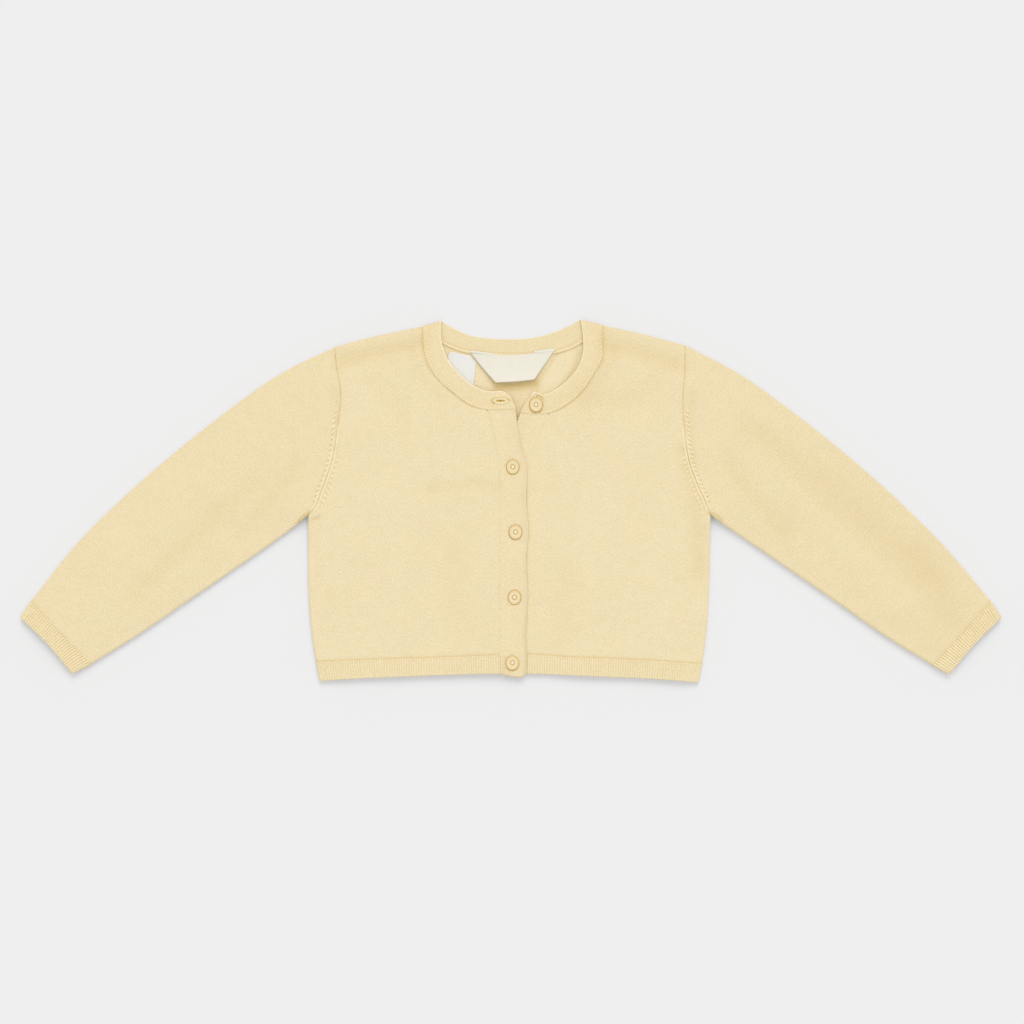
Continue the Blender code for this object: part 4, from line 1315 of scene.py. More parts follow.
@dataclass
class Workroom:
    """What the sub-assemblies share: the laid form, the plan's place and the made finishes."""

    form: LaidForm
    shift: Array
    looks: dict[Look, bpy.types.Material]
    floor: str = "floor"

    @classmethod
    def open(cls) -> "Workroom":
        """Finds the plan's place from a button that the frame holds, and makes the finishes."""
        x, y, _ = np.mean(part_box("button_3"), axis=0) / MM
        shift = np.array([x - BUTTON_SPOTS[2].x, y - BUTTON_SPOTS[2].y, 0.0])
        groups = StitchGroups()
        return cls(LaidForm(), shift, {look: look.value.material(groups) for look in Look})

    def dress(self, piece: bpy.types.Object, slot: str, *nodes: str) -> bpy.types.Object:
        """Rides the piece on the body, and lets it stand for its nodes, which it hides."""
        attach(piece, BODY)
        if nodes:
            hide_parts(*nodes)
        LOG.info("%s: %d faces", piece.name, len(piece.data.polygons))
        return piece

    def sew(self, wall: Wall, looks: Sequence[Look], slot: str, *nodes: str) -> bpy.types.Object:
        """Makes a wall, its outer finish first, and dresses it."""
        made = wall.build(self.shift, [self.looks[look] for look in looks])
        return self.dress(made, slot, *nodes)

    def rib_heads(
        self, name: str, heads: Array, along: Array, up: Array, rib_height: float
    ) -> bpy.types.Object:
        """A small raised stitch at the head of each rib, kept off the floor underneath."""
        sunk = 0.6 * rib_height + STITCH_SINK * (up[:, 2:] < 0)
        centres = heads + up * sunk + self.shift
        look = self.looks[Look.STITCHING]
        made = blobs(f"{name}_stitches", centres, along, up, (1.7, 1.0, 0.9), look)
        return self.dress(made, "rib_knit")

    def laid_loops(
        self,
        name: str,
        look: Look,
        spots: Array,
        level: Measure,
        along: Array,
        size: Union[Sequence[float], Array],
        sides: int = 8,
    ) -> bpy.types.Object:
        """Stitches that lie level on the body's knit.

        Args:
            name: The object's name.
            look: Their finish.
            spots: Their middles in the plan.
            level: Height of the middles.
            along: Their direction in the plan.
            size: Length, width and height of all of them, or a row of these for each.
            sides: Points round each stitch.

        Returns:
            The object.
        """
        count = len(spots)
        centres = np.column_stack([spots, np.broadcast_to(level, count)]) + self.shift
        up = np.tile([0.0, 0.0, 1.0], (count, 1))
        run = np.column_stack([along, np.zeros(count)])
        made = blobs(name, centres, run, up, size, self.looks[look], sides)
        return self.dress(made, "body_knit")

    def declare(
        self,
        name: str,
        size: tuple[float, float],
        area: float,
        rests_on: str,
        with_pieces: Sequence[bpy.types.Object] = (),
    ) -> None:
        """Logs a piece's cut, its area held to its size, and looks up its cloth.

        Args:
            name: The piece's name.
            size: Width and length of its cut, in millimetres.
            area: Its cut's area, in square millimetres.
            rests_on: Names of what it lies on, with spaces between; not used.
            with_pieces: Stitches that go with it; not used.
        """
        area = min(area, size[0] * size[1])
        LOG.info("%s: cut %.0f x %.0f mm, %.0f mm2", name, *size, area)
        bpy.data.objects[cloth_name(name)]
        rests_on.split()
        list(with_pieces)


def side_line(half: HalfPlan) -> Line:
    """Side fold and armhole as one line, from the hem rib to the shoulder."""
    return joined([Line.through(half.seam), Line.through(half.armhole)], [UNDERARM, 1])


def front_edge(half: HalfPlan) -> Line:
    """Band seam and neckline as one line, from the hem rib to the shoulder."""
    neck = outer_line(half.neck)
    corner = neck.points[BAND_CORNER * SPAN_STEPS]
    sewn = Line.through([*((row.seam, row.height) for row in half.band), tuple(corner)])
    return joined([sewn, neck.stretch(0, BAND_CORNER).reversed()], [NECK_FOOT, 1])


@dataclass
class Panel:
    """A front or the back: plain knit, seamed at its edges and folded at side and shoulder."""

    room: Workroom
    name: str
    patch: Patch
    lean: Lean = Lean.NONE
    upper: bool = True
    wall: float = 1.35
    step: float = 1.7
    rounding: tuple[float, float, float] = (4.0, 3.2, 6.0)
    turns: tuple[int, int] = (7, 11)
    hem_dip: Bell = Bell(-0.30, 1.8)
    hem_shade: Bell = Bell(0.30, 0.8, 0.7)
    at_neck: Ramp = Ramp(NECK_FOOT, 0.03)
    neck_dip: Bell = Bell(-0.28, 2.6)
    neck_shade: Bell = Bell(0.45, 1.9)
    at_armhole: Ramp = Ramp(UNDERARM, 0.02)
    # Painted shade along the seams of a front and of the back.
    front_seam_painted_shade: Bell = Bell(0.15, 0.6)
    back_seam_painted_shade: Bell = Bell(0.6, 0.6)

    def grid(self) -> tuple[Array, Array]:
        """Shares of the grid's rows and columns, with both closer together at the folds."""
        low, high, side = self.rounding
        middle = self.patch.heights(np.array([0.2, 0.8])).mean()
        rows = spread(middle, round(middle / self.step), low, high, self.turns[0])[0]
        widths = self.patch.widths(rows)
        columns = spread(widths, round(widths.max() / self.step), side, side, self.turns[1])
        return np.broadcast_to(rows[:, None], columns.shape), columns

    def laid(self, plan: Array, rows: Array, columns: Array) -> Array:
        """Heights from the laid form, with the folded borders on the folds themselves."""
        form = self.room.form
        heights = form.top(plan, self.lean) if self.upper else form.under(plan)
        at_side, fold = rows[:, 0] <= UNDERARM, form.fold(plan)
        for border in (-1,) if self.upper else (0, -1):
            heights[at_side, border] = fold[at_side, border]
        at_shoulder = self.upper | (np.abs(columns[-1] - 0.5) >= 0.5 - SHOULDER)
        heights[-1, at_shoulder] = fold[-1, at_shoulder]
        return heights

    def build(self) -> bpy.types.Object:
        """Heights from the laid form over the patch, then the wall under them."""
        rows, columns = self.grid()
        form, plan = self.room.form, self.patch.plan(rows, columns)
        heights = self.laid(plan, rows, columns)
        hem = rows * self.patch.heights(columns[-1])[None, :]
        near = columns * self.patch.widths(rows[:, 0])[:, None]
        depth = self.hem_shade.over(hem)
        if self.upper:
            at_neck = self.at_neck.over(rows)
            heights = heights + self.hem_dip.over(hem) + at_neck * self.neck_dip.over(near)
            depth += at_neck * self.neck_shade.over(near)
            depth += form.armhole(plan)[1] * self.at_armhole.over(rows) + form.shade(plan)
        outer = np.dstack([plan, heights])
        wall = Wall(
            name=self.name,
            outer=outer,
            normals=grid_normals(outer, facing=1 if self.upper else -1),
            cloth=plan,
            thickness=self.wall,
            seam=self.seam(rows, columns),
            depth=depth,
            inner_depth=0.0 if self.upper else form.inside(plan),
            seam_painted_shade=self.front_seam_painted_shade if self.upper else self.back_seam_painted_shade,
        )
        return self.room.sew(wall, [Look.BODY, Look.BODY_INSIDE], "body_knit", self.name)

    def seam(self, rows: Array, columns: Array) -> Array:
        """Distance from the seams: the hem, the armholes, and the band or back neckline."""
        widths = self.patch.widths(rows[:, 0])[:, None]
        heights = self.patch.heights(columns[-1])[None, :]
        past = np.clip(UNDERARM - rows, 0, None) * heights
        near, far = columns * widths, np.hypot((1 - columns) * widths, past)
        edge = np.minimum(rows * heights, far)
        if self.upper:
            return np.minimum(edge, near)
        beside = np.clip(SHOULDER - columns, 0, None) + np.clip(columns - 1 + SHOULDER, 0, None)
        top = np.hypot((1 - rows) * heights, beside * widths)
        return np.minimum(np.minimum(edge, np.hypot(near, past)), top)

    def declare(self, rests_on: str, marks: Sequence[bpy.types.Object]) -> None:
        """Logs its cut."""
        self.room.declare(self.name, self.patch.size(), self.patch.area(), rests_on, marks)


def front_panel(room: Workroom, half: HalfPlan) -> Panel:
    """A front, from its band's seam to its side fold and from the hem rib to the shoulder."""
    shoulder = Line.through(half.shoulder).reversed()
    patch = Patch(front_edge(half), side_line(half), inner_line(half.hem), shoulder)
    return Panel(room, f"front_{half.name}", patch, half.lean)


def back_panel(room: Workroom) -> Panel:
    """The back, one sheet from side fold to side fold."""
    right, left = (Line.through(half.shoulder) for half in HALVES)
    hem = inner_line([*RIGHT.hem[::-1], *LEFT.hem])
    top = joined([right, outer_line(BACK_NECK), left.reversed()], [SHOULDER, 1 - SHOULDER, 1])
    return Panel(room, "back", Patch(side_line(RIGHT), side_line(LEFT), hem, top), upper=False)


@dataclass
class Tube:
    """A flattened tube of cloth: its patch above and below, folded at the near and far lines."""

    room: Workroom
    name: str
    patch: Patch
    axis: Array
    slot: str
    looks: Sequence[Look]
    wall: float
    row_step: float
    column_step: float
    start_reach: float = 1.1
    start_turns: int = 6
    rounding: float = 3.0
    end_shade: Bell = Bell(0.25, 0.8, 0.5)

    def grid(self) -> tuple[Array, Array]:
        """Shares of the grid's rows and columns over one layer."""
        length = self.patch.middle()[1]
        count = round(length / self.row_step)
        rows = spread(length, count, self.start_reach, 1.1, self.start_turns)[0]
        widths = self.patch.widths(rows)
        count = round(float(widths.mean()) / self.column_step)
        columns = spread(widths, count, self.rounding, self.rounding, 7)
        return np.broadcast_to(rows[:, None], columns.shape), columns

    def raised(self, rows: Array) -> Measure:
        """How far the upper layer stands over the laid form."""
        return 0.0

    def build(self) -> bpy.types.Object:
        """The ring of columns, over the top from near to far and back underneath."""
        rows, columns = self.grid()
        plan, form = self.patch.plan(rows, columns), self.room.form
        layers = []
        for heights in (form.top(plan) + self.raised(rows), form.under(plan)):
            heights[:, [0, -1]] = form.fold(plan[:, [0, -1]])
            layers.append(np.dstack([plan, heights]))
        outer = np.concatenate([layers[0], layers[1][:, -2:0:-1]], axis=1)
        length = self.patch.middle()[1]
        from_start = np.broadcast_to(rows[:, :1] * length, outer.shape[:2])
        wall = self.finished(plan, outer, from_start, length - from_start)
        return self.room.sew(wall, self.looks, self.slot, self.name)

    def finished(self, plan: Array, outer: Array, from_start: Array, to_end: Array) -> Wall:
        """A plain tube's wall, sewn at both ends.

        A cloth point's u is its distance across the tube's axis, mirrored about the far fold
        on the underside, and its v the distance along the axis.

        Args:
            plan: Plan points of the upper layer.
            outer: Points of both layers.
            from_start: Distance of each from the first end.
            to_end: Distance of each from the other.

        Returns:
            The wall.
        """
        form = self.room.form
        across = plan @ np.array([-self.axis[1], self.axis[0]])
        far = across[:, -1:]
        u = np.hstack([across, 2 * far - across[:, -2:0:-1], 2 * far - across[:, :1]])
        v = np.concatenate([outer, outer[:, :1]], axis=1)[..., :2] @ self.axis
        depth = self.end_shade.over(to_end)
        depth[:, : plan.shape[1]] += form.armhole(plan)[1] + form.shade(plan)
        return Wall(
            name=self.name,
            outer=outer,
            normals=grid_normals(outer, ring=True),
            cloth=np.dstack([u, v]),
            thickness=self.wall,
            seam=np.minimum(from_start, to_end),
            depth=depth,
            ring=True,
        )

    def declare(self, rests_on: str, with_pieces: Sequence[bpy.types.Object]) -> None:
        """Logs its cut, opened out flat: all round by its length."""
        width, length = self.patch.size()
        area = 2 * self.patch.area()
        self.room.declare(self.name, (2 * width, length), area, rests_on, with_pieces)


@dataclass
class Cuff(Tube):
    """A ribbed tube, sewn at its start and open at its end, where the upper layer stands up."""

    rib_pitch: float = 2.1
    rib_height: float = 0.42
    rib_shade: float = 0.62
    start_shade: Bell = Bell(0.2, 0.5, 0.3)
    mouth_rise: float = 0.7
    mouth: Ramp = Ramp(0.1, 0.9)

    def raised(self, rows: Array) -> Measure:
        """The mouth's rise."""
        return self.mouth_rise * self.mouth.over(rows)

    def finished(self, plan: Array, outer: Array, from_start: Array, to_end: Array) -> Wall:
        """A ribbed tube's wall, with a whole number of ribs round it.

        A cloth point's u is its distance round the tube, and its v the distance along the axis.
        The ribs stand out over the top, and only sink underneath.

        Args:
            plan: Plan points of the upper layer.
            outer: Points of both layers.
            from_start: Distance of each from the first end.
            to_end: Distance of each from the other.

        Returns:
            The wall.
        """
        closed = np.concatenate([outer, outer[:, :1]], axis=1)
        runs = np.linalg.norm(np.diff(closed, axis=1), axis=-1)
        around = np.hstack([np.zeros((len(runs), 1)), np.cumsum(runs, axis=1)])
        number = round(float(around[len(around) // 2].max()) / self.rib_pitch)
        wave = ridge_wave(number * around / around.max(axis=1, keepdims=True))[:, :-1]
        normals = grid_normals(outer, ring=True)
        self.heads = self.rib_heads(outer, normals, wave, from_start[:, 0])
        return Wall(
            name=self.name,
            outer=outer,
            normals=normals,
            cloth=np.dstack([around, closed[..., :2] @ self.axis]),
            thickness=self.wall,
            edge=to_end,
            seam=from_start,
            lift=self.rib_height * (2 * wave - 1 - np.clip(-normals[..., 2], 0, 1)),
            depth=self.rib_shade * (1 - wave) + self.start_shade.over(from_start),
            ring=True,
        )

    def rib_heads(self, outer: Array, normals: Array, wave: Array, from_start: Array) -> bpy.types.Object:
        """A stitch at the head of each rib, where the wave has its peaks."""
        row = int(np.argmin(np.abs(from_start - HEAD_ROW)))
        ring = wave[row]
        peaks = (ring >= np.roll(ring, 1)) & (ring > np.roll(ring, -1))
        along = unit(outer[row + 2, peaks] - outer[row, peaks])
        spots = outer[row, peaks]
        return self.room.rib_heads(self.name, spots, along, normals[row, peaks], self.rib_height)


def sleeve_axis(half: HalfPlan) -> Array:
    """Unit direction of a sleeve from the armhole to the cuff, which its wales follow."""
    middles = [np.array(row).reshape(2, 2).mean(axis=0) for row in (half.sleeve[1], half.sleeve[-1])]
    return unit(middles[1] - middles[0])


def sleeve_tube(room: Workroom, half: HalfPlan) -> Tube:
    """A set-in sleeve from the armhole to its cuff's seam."""
    inner, outer = inner_line(half.sleeve), outer_line(half.sleeve)
    cuff_seam = Line([inner.points[-1], outer.points[-1]])
    return Tube(
        room=room,
        name=f"sleeve_{half.name}",
        patch=Patch(inner, outer, Line.through(half.armhole), cuff_seam),
        axis=sleeve_axis(half),
        slot="body_knit",
        looks=[Look.SLEEVE, Look.BODY_INSIDE],
        wall=1.3,
        row_step=2.0,
        column_step=1.9,
        start_reach=6.0,
        start_turns=11,
    )


def cuff_tube(room: Workroom, half: HalfPlan) -> Cuff:
    """A ribbed cuff, its open end drawn in a little in the middle."""
    start, tips = (np.array(row).reshape(2, 2) for row in (half.sleeve[-1], half.cuff))
    chord = unit(tips[1] - tips[0])
    drawn_in = half.side * CUFF_DRAWN_IN * np.array([-chord[1], chord[0]])
    mouth = Line.through([tips[0], tips.mean(axis=0) + drawn_in, tips[1]]).even()
    return Cuff(
        room=room,
        name=f"cuff_{half.name}",
        patch=Patch.between(Line(start), mouth),
        axis=sleeve_axis(half),
        slot="rib_knit",
        looks=[Look.RIB, Look.RIB_INSIDE],
        wall=1.6,
        row_step=1.1,
        column_step=0.34,
    )


class Span(NamedTuple):
    """One side of a ribbed strip: its patch, whether it is above, its lean and folded ends."""

    patch: Patch
    upper: bool
    lean: Lean
    folded: tuple[bool, bool]

    @classmethod
    def of(cls, sections: Sequence[Section], lean: Lean, starts: bool, ends: bool) -> "Span":
        """The span over these sections, which is underneath if it has no lean."""
        patch = Patch.between(inner_line(sections), outer_line(sections))
        return cls(patch, lean is not Lean.NONE, lean, (starts, ends))


@dataclass
class StripGrid:
    """A strip's points, and how far each is along it, across it and from a fold underneath.

    Columns above are at no fold, and their distance is infinite.
    """

    outer: Array
    along: Array
    across: Array
    from_fold: Array
    width: float

    def ends(self) -> Array:
        """Distance from the nearer end."""
        return np.minimum(self.along, self.along[-1] - self.along)


@dataclass
class RibStrip:
    """A ribbed strip that runs right round the opening, folded at both sides of the garment."""

    room: Workroom
    name: str
    nodes: Sequence[str]
    spans: Sequence[Span]
    pitch: float
    rib_height: float
    wall: float = 1.7
    rise: float = 0.0
    across: int = 11
    per_rib: int = 6
    rounding: float = 3.0
    plain_end: float = 1.1
    shade: float = 0.55
    seam_shade: Bell = Bell(0.2, 0.5, 0.3)
    seam_thins: float = 0.12
    base_shade: float = 0.0
    inward: int = 2

    def columns(self, span: Span) -> tuple[Array, Array]:
        """Shares of a span's columns, and how far along the span each of them is.

        Columns are even along the middle line, and closer together at a fold.
        """
        shares = np.linspace(0, 1, 600)
        middle = (span.patch.low.at(shares) + span.patch.high.at(shares)) / 2
        runs = np.linalg.norm(np.diff(middle, axis=0), axis=1)
        along = np.concatenate([[0.0], np.cumsum(runs)])
        start, end = (self.rounding if folded else self.plain_end for folded in span.folded)
        count = round(along[-1] * self.per_rib / self.pitch)
        even = spread(along[-1], count, start, end, 10)[0] * along[-1]
        return np.interp(even, along, shares), even

    def laid(self) -> StripGrid:
        """The spans' columns side by side."""
        form = self.room.form
        outers, along, folds, travelled = [], [], [], 0.0
        for span in self.spans:
            columns, even = self.columns(span)
            width = span.patch.middle()[1]
            rows = spread(width, self.across, self.plain_end, self.plain_end, 5)[0]
            plan = span.patch.plan(*np.meshgrid(rows, columns, indexing="ij"))
            heights = form.top(plan, span.lean, self.rise) if span.upper else form.under(plan)
            for column, folded in zip((0, -1), span.folded):
                if folded:
                    heights[:, column] = form.middle
            skip = 1 if outers else 0
            outers.append(np.dstack([plan, heights])[:, skip:])
            along.append(travelled + even[skip:])
            from_fold = np.minimum(even, even[-1] - even)
            folds.append(np.where(span.upper, np.inf, from_fold)[skip:])
            travelled += even[-1]
        outer, folds = np.concatenate(outers, axis=1), np.concatenate(folds)
        return StripGrid(outer, np.concatenate(along), rows[:, None] * width, folds, width)

    def build(self) -> bpy.types.Object:
        """The ribs over the laid grid, with one wall.

        The rib lift is height x (2|cos(pi s / pitch)| - 1), s being the distance along the
        strip with a slow uneven drift. Underneath the ribs only sink.
        """
        grid = self.laid()
        normals, s = grid_normals(grid.outer), grid.along
        normals = normals * np.sign(normals[:, np.isinf(grid.from_fold), 2].sum())
        phase = (s + 0.35 * np.sin(s / 17.0) + 0.2 * np.sin(s / 6.3 + 1.0)) / self.pitch
        wave, from_seam = ridge_wave(phase), self.from_seam(grid)
        proud = grid.outer[..., 2] > self.room.form.middle
        lift = self.rib_height * (2 * (wave - 1) + proud)
        lift, depth = self.worked(grid, proud, lift, self.shade * (1 - wave))
        edge, seam = self.borders(grid)
        self.heads = self.rib_heads(grid.outer, normals, s, phase, from_seam[:, 0])
        self.size = (float(s[-1]), grid.width)
        wall = Wall(
            name=self.name,
            outer=grid.outer,
            normals=normals,
            cloth=np.dstack(np.broadcast_arrays(s[None, :], grid.across)),
            thickness=self.wall,
            edge=edge,
            seam=seam,
            lift=lift,
            depth=depth,
            inner_depth=depth - self.base_shade,
            seam_thins=self.seam_thins,
            round_reach=0.65,
        )
        return self.room.sew(wall, [Look.RIB, Look.RIB_INSIDE], "rib_knit", *self.nodes)

    def from_seam(self, grid: StripGrid) -> Array:
        """Distance from the seam, which is along the first row."""
        return grid.across

    def borders(self, grid: StripGrid) -> tuple[Array, Array]:
        """Distance from the free edge, and from the seams at the first row and at both ends."""
        return grid.width - grid.across, np.minimum(grid.across, grid.ends())

    def worked(self, grid: StripGrid, proud: Array, lift: Array, depth: Array) -> tuple[Array, Array]:
        """Lift and depth of shade of the ribs with everything else that is worked on the strip."""
        return lift, depth + self.seam_shade.over(grid.across)

    def rib_heads(
        self, outer: Array, normals: Array, s: Array, phase: Array, from_seam: Array
    ) -> bpy.types.Object:
        """A stitch at the head of each rib, at the whole numbers of the phase."""
        row = int(np.argmin(np.abs(from_seam - HEAD_ROW)))
        peak = np.interp(np.arange(1, int(phase[-1]) + 1), phase, s)

        def at_peaks(line: Array) -> Array:
            """A line of the grid read at the peaks."""
            return np.stack([np.interp(peak, s, line[:, k]) for k in range(3)], axis=-1)

        heads, up = at_peaks(outer[row]), unit(at_peaks(normals[row]))
        along = unit(at_peaks(outer[row + self.inward]) - heads)
        return self.room.rib_heads(self.name, heads, along, up, self.rib_height)

    def declare(self, rests_on: str) -> None:
        """Logs its cut."""
        area = sum(span.patch.area() for span in self.spans)
        length, width = self.size
        size = (max(length, area / width), width * CUT_ALLOWANCE)
        self.room.declare(self.name, size, area, rests_on, [self.heads])


@dataclass
class Neckband(RibStrip):
    """The strip sewn along its last row, with free ends, softer ribs and the open buttonhole."""

    rise: float = 0.12
    across: int = 24
    shade: float = 0.34
    seam_shade: Bell = Bell(0.10, 0.5, 0.3)
    seam_thins: float = 0.06
    base_shade: float = 0.24
    inward: int = -2
    slit: Spot = NECK_SLOT
    softer: Ramp = Ramp(4.0, 5.0)
    softened: float = 0.6
    fold_shade: Bell = Bell(0.9, 1.4)
    linked_shade: Bell = Bell(0.5, 0.55, 1.6)
    low_shade: Bell = Bell(0.20, 0.6)
    lowest: Ramp = Ramp(95.0, -15.0)
    # Painted highlight along the free edge above, where its roll catches the light.
    painted_edge_highlight: Bell = Bell(-0.6, 0.5, 0.35)
    slit_clear: Ramp = Ramp(0.8, 0.4)
    slit_welt: Bell = Bell(0.4, 0.25, 0.75)
    # Painted shade round the welt's outline, and a painted shadow at the slit's nearer end.
    slit_outline_painted_shade: Bell = Bell(1.0, 0.15, 1.05)
    slit_end_painted_shadow: Bell = Bell(1.6, 0.9)
    slit_sinks: float = 1.1

    def from_seam(self, grid: StripGrid) -> Array:
        """Distance from the seam, which is along the last row."""
        return grid.width - grid.across

    def borders(self, grid: StripGrid) -> tuple[Array, Array]:
        """Distance from the free edges, the ends among them, and from the seam."""
        return np.minimum(grid.across, grid.ends()), self.from_seam(grid)

    def worked(self, grid: StripGrid, proud: Array, lift: Array, depth: Array) -> tuple[Array, Array]:
        """Lift and depth with the ribs softened, painted shade at the seams and folds, a painted
        highlight along the free edge above, and the slit cut.
        """
        from_seam, above = self.from_seam(grid), np.isinf(grid.from_fold)
        weak = 1 - self.softened * self.softer.over(from_seam) * above
        depth = depth * weak + self.base_shade + self.fold_shade.over(grid.from_fold)
        depth = depth + self.linked_shade.over(from_seam) * ~above + self.seam_shade.over(from_seam)
        depth = depth + self.low_shade.over(from_seam) * self.lowest.over(grid.outer[..., 1])
        depth = depth + self.room.form.shade(grid.outer[..., :2]) * proud
        lift, depth = self.cut_slit(grid.outer, proud, lift * weak, depth)
        return lift, depth + self.painted_edge_highlight.over(self.borders(grid)[0]) * proud

    def cut_slit(self, outer: Array, proud: Array, lift: Array, depth: Array) -> tuple[Array, Array]:
        """A buttonhole in the strip: a raised oval welt with no ribs, and a sunk slit in it.

        The ribs fade out inside the oval, the welt stands along it, and the slit sinks where
        its own oval is under 1. Painted shade darkens the welt's outline, more on its upper side,
        and the slit in dashes, and a painted shadow darkens a spot at the slit's nearer end.
        """
        x, y = outer[..., 0] - self.slit.x, outer[..., 1] - self.slit.y
        oval = np.where(proud, np.hypot(x / 6.7, y / 2.5), np.inf)
        sunk = 1 - SLIT_RIM.over(np.where(proud, np.hypot(x / 4.3, y / 0.8), np.inf))
        clear = self.slit_clear.over(oval)
        shade = (1.0 + 0.4 * np.sign(y)) * self.slit_outline_painted_shade.over(oval)
        shade += (2.2 + 0.8 * np.cos(2.2 * x)) * sunk
        shade += self.slit_end_painted_shadow.over(np.hypot(x + 5.6, y + 1.5)) * proud
        lift = lift * clear + self.slit_welt.over(oval) - self.slit_sinks * sunk
        return lift, depth * clear + shade


def hem_strip(room: Workroom) -> RibStrip:
    """The hem rib, from the right band's seam round the back to the left band's."""
    spans = [
        Span.of(RIGHT.hem, Lean.OVER, False, True),
        Span.of([*RIGHT.hem[::-1], *LEFT.hem], Lean.NONE, True, True),
        Span.of(LEFT.hem[::-1], Lean.UNDER, True, False),
    ]
    nodes = ["hem_rib_front_right", "hem_rib_back", "hem_rib_front_left"]
    return RibStrip(room, "hem_rib", nodes, spans, pitch=HEM_RIB_PITCH, rib_height=0.28)


def neck_strip(room: Workroom) -> Neckband:
    """The neckband, from its right end round the back to its left end."""
    spans = [
        Span.of(RIGHT.neck[::-1], Lean.OVER, False, True),
        Span.of(BACK_NECK, Lean.NONE, True, True),
        Span.of(LEFT.neck, Lean.UNDER, True, False),
    ]
    nodes = ["neckband_right", "neckband_back", "neckband_left"]
    return Neckband(room, "neckband", nodes, spans, pitch=1.9, rib_height=0.09)


def neck_seam_stitches(room: Workroom) -> bpy.types.Object:
    """The ridge of linked stitches inside the back of the neck, as loops side by side."""
    line = outer_line(BACK_NECK).even()
    spots, run = line.beside(line.pitched(1.25, 3.5, 3.5), -0.6)
    size = (1.7, 2.3, 1.15)
    return room.laid_loops("neck_seam_stitches", Look.BODY_LOOPS, spots, 1.5, run, size, sides=6)


@dataclass
class FrontBand:
    """The doubled band down a front, from its foot at the hem up to the neckband's seam.

    Its foot is ribbed on the side that goes on the other band, as the hem is beside it.
    """

    room: Workroom
    half: HalfPlan
    wall: float = 1.35
    step: float = 0.9
    column_step: float = 0.5
    slot_length: float = 13.0
    seam_shade: Bell = Bell(0.10, 0.7, 0.6)
    edge_shade: Bell = Bell(1.1, 0.42)
    edge_roll: Bell = Bell(0.16, 0.8, 1.7)
    foot: Ramp = Ramp(-122.0, -1.2)
    foot_side: Ramp = Ramp(0.5, -2.5)
    foot_height: float = 0.32
    foot_shade: float = 0.45
    wavy: Ramp = Ramp(7.0, -6.0)
    wave_height: float = 0.12
    welt: Bell = Bell(0.12, 0.3, 0.75)

    def __post_init__(self) -> None:
        """Draws the patch: near is the band's free edge and far its seam."""
        half, seam = self.half, outer_line(self.half.neck)
        free = [tuple(half.foot[0]), *((row.edge, row.height) for row in half.band)]
        sewn = [tuple(half.foot[-1]), *((row.seam, row.height) for row in half.band)]
        self.name = f"band_{half.name}"
        self.patch = Patch(
            near=Line.through([*free, tuple(seam.points[-1])]),
            far=Line.through([*sewn, tuple(seam.points[BAND_CORNER * SPAN_STEPS])]),
            low=Line.through(half.foot) if len(half.foot) > 2 else Line(half.foot),
            high=seam.stretch(BAND_CORNER, len(half.neck) - 1).reversed(),
        )

    def build(self) -> bpy.types.Object:
        """The band's wall, its edge rolled, with a buttonhole under each fastened button."""
        patch, form = self.patch, self.room.form
        width, length = patch.middle()
        rows = spread(length, round(length / self.step), 1.4, 1.1)[0]
        columns = spread(patch.widths(rows), round(width / self.column_step), 1.4, 1.1)
        rows = np.broadcast_to(rows[:, None], columns.shape)
        plan = patch.plan(rows, columns)
        widths = patch.widths(rows[:, 0])[:, None]
        from_edge, y = columns * widths, plan[..., 1]
        edge = np.minimum(from_edge, rows * length)
        seam = np.minimum((1 - columns) * widths, (1 - rows) * length)
        lift, depth = 0.0, 0.0
        if self.half.lean is Lean.OVER:
            ribbed = self.foot.over(y) * self.foot_side.over(plan[..., 0])
            wave = ridge_wave(plan[..., 0] / HEM_RIB_PITCH)
            lift, depth = self.slots(plan)
            lift += self.edge_roll.over(edge) + self.foot_height * ribbed * (2 * wave - 1)
            depth += self.foot_shade * ribbed * (1 - wave) + form.shade(plan)
            depth += self.edge_shade.over(edge) + self.seam_shade.over(seam)
        uneven = self.wave_height * np.sin(y / 5.7 + 1.2 * np.sin(y / 13.0))
        outer = np.dstack([plan, form.top(plan, self.half.lean)])
        wall = Wall(
            name=self.name,
            outer=outer,
            normals=grid_normals(outer),
            cloth=np.dstack([from_edge, y]),
            thickness=self.wall,
            edge=edge,
            seam=seam,
            lift=lift + uneven * self.wavy.over(from_edge),
            depth=depth,
            round_reach=1.2,
            seam_thins=0.1,
        )
        return self.room.sew(wall, [Look.BAND], "band_knit", self.name)

    def slots(self, plan: Array) -> tuple[Array, Array]:
        """Lift and depth of shade of upright buttonholes: an oval welt, and a slit sunk in it."""
        lift, depth = np.zeros(plan.shape[:-1]), np.zeros(plan.shape[:-1])
        for spot in BUTTON_SPOTS[1:]:
            x, y = plan[..., 0] - spot.x, plan[..., 1] - spot.y
            oval = np.hypot(x / 2.2, y / (self.slot_length / 2 + 1.2))
            sunk = 1 - SLIT_RIM.over(np.hypot(x / 0.7, y / (self.slot_length / 2)))
            lift += self.welt.over(oval) - 0.6 * sunk
            depth += 0.8 * sunk
        return lift, depth

    def declare(self, rests_on: str) -> None:
        """Logs its cut."""
        self.room.declare(self.name, self.patch.size(), self.patch.area(), rests_on)


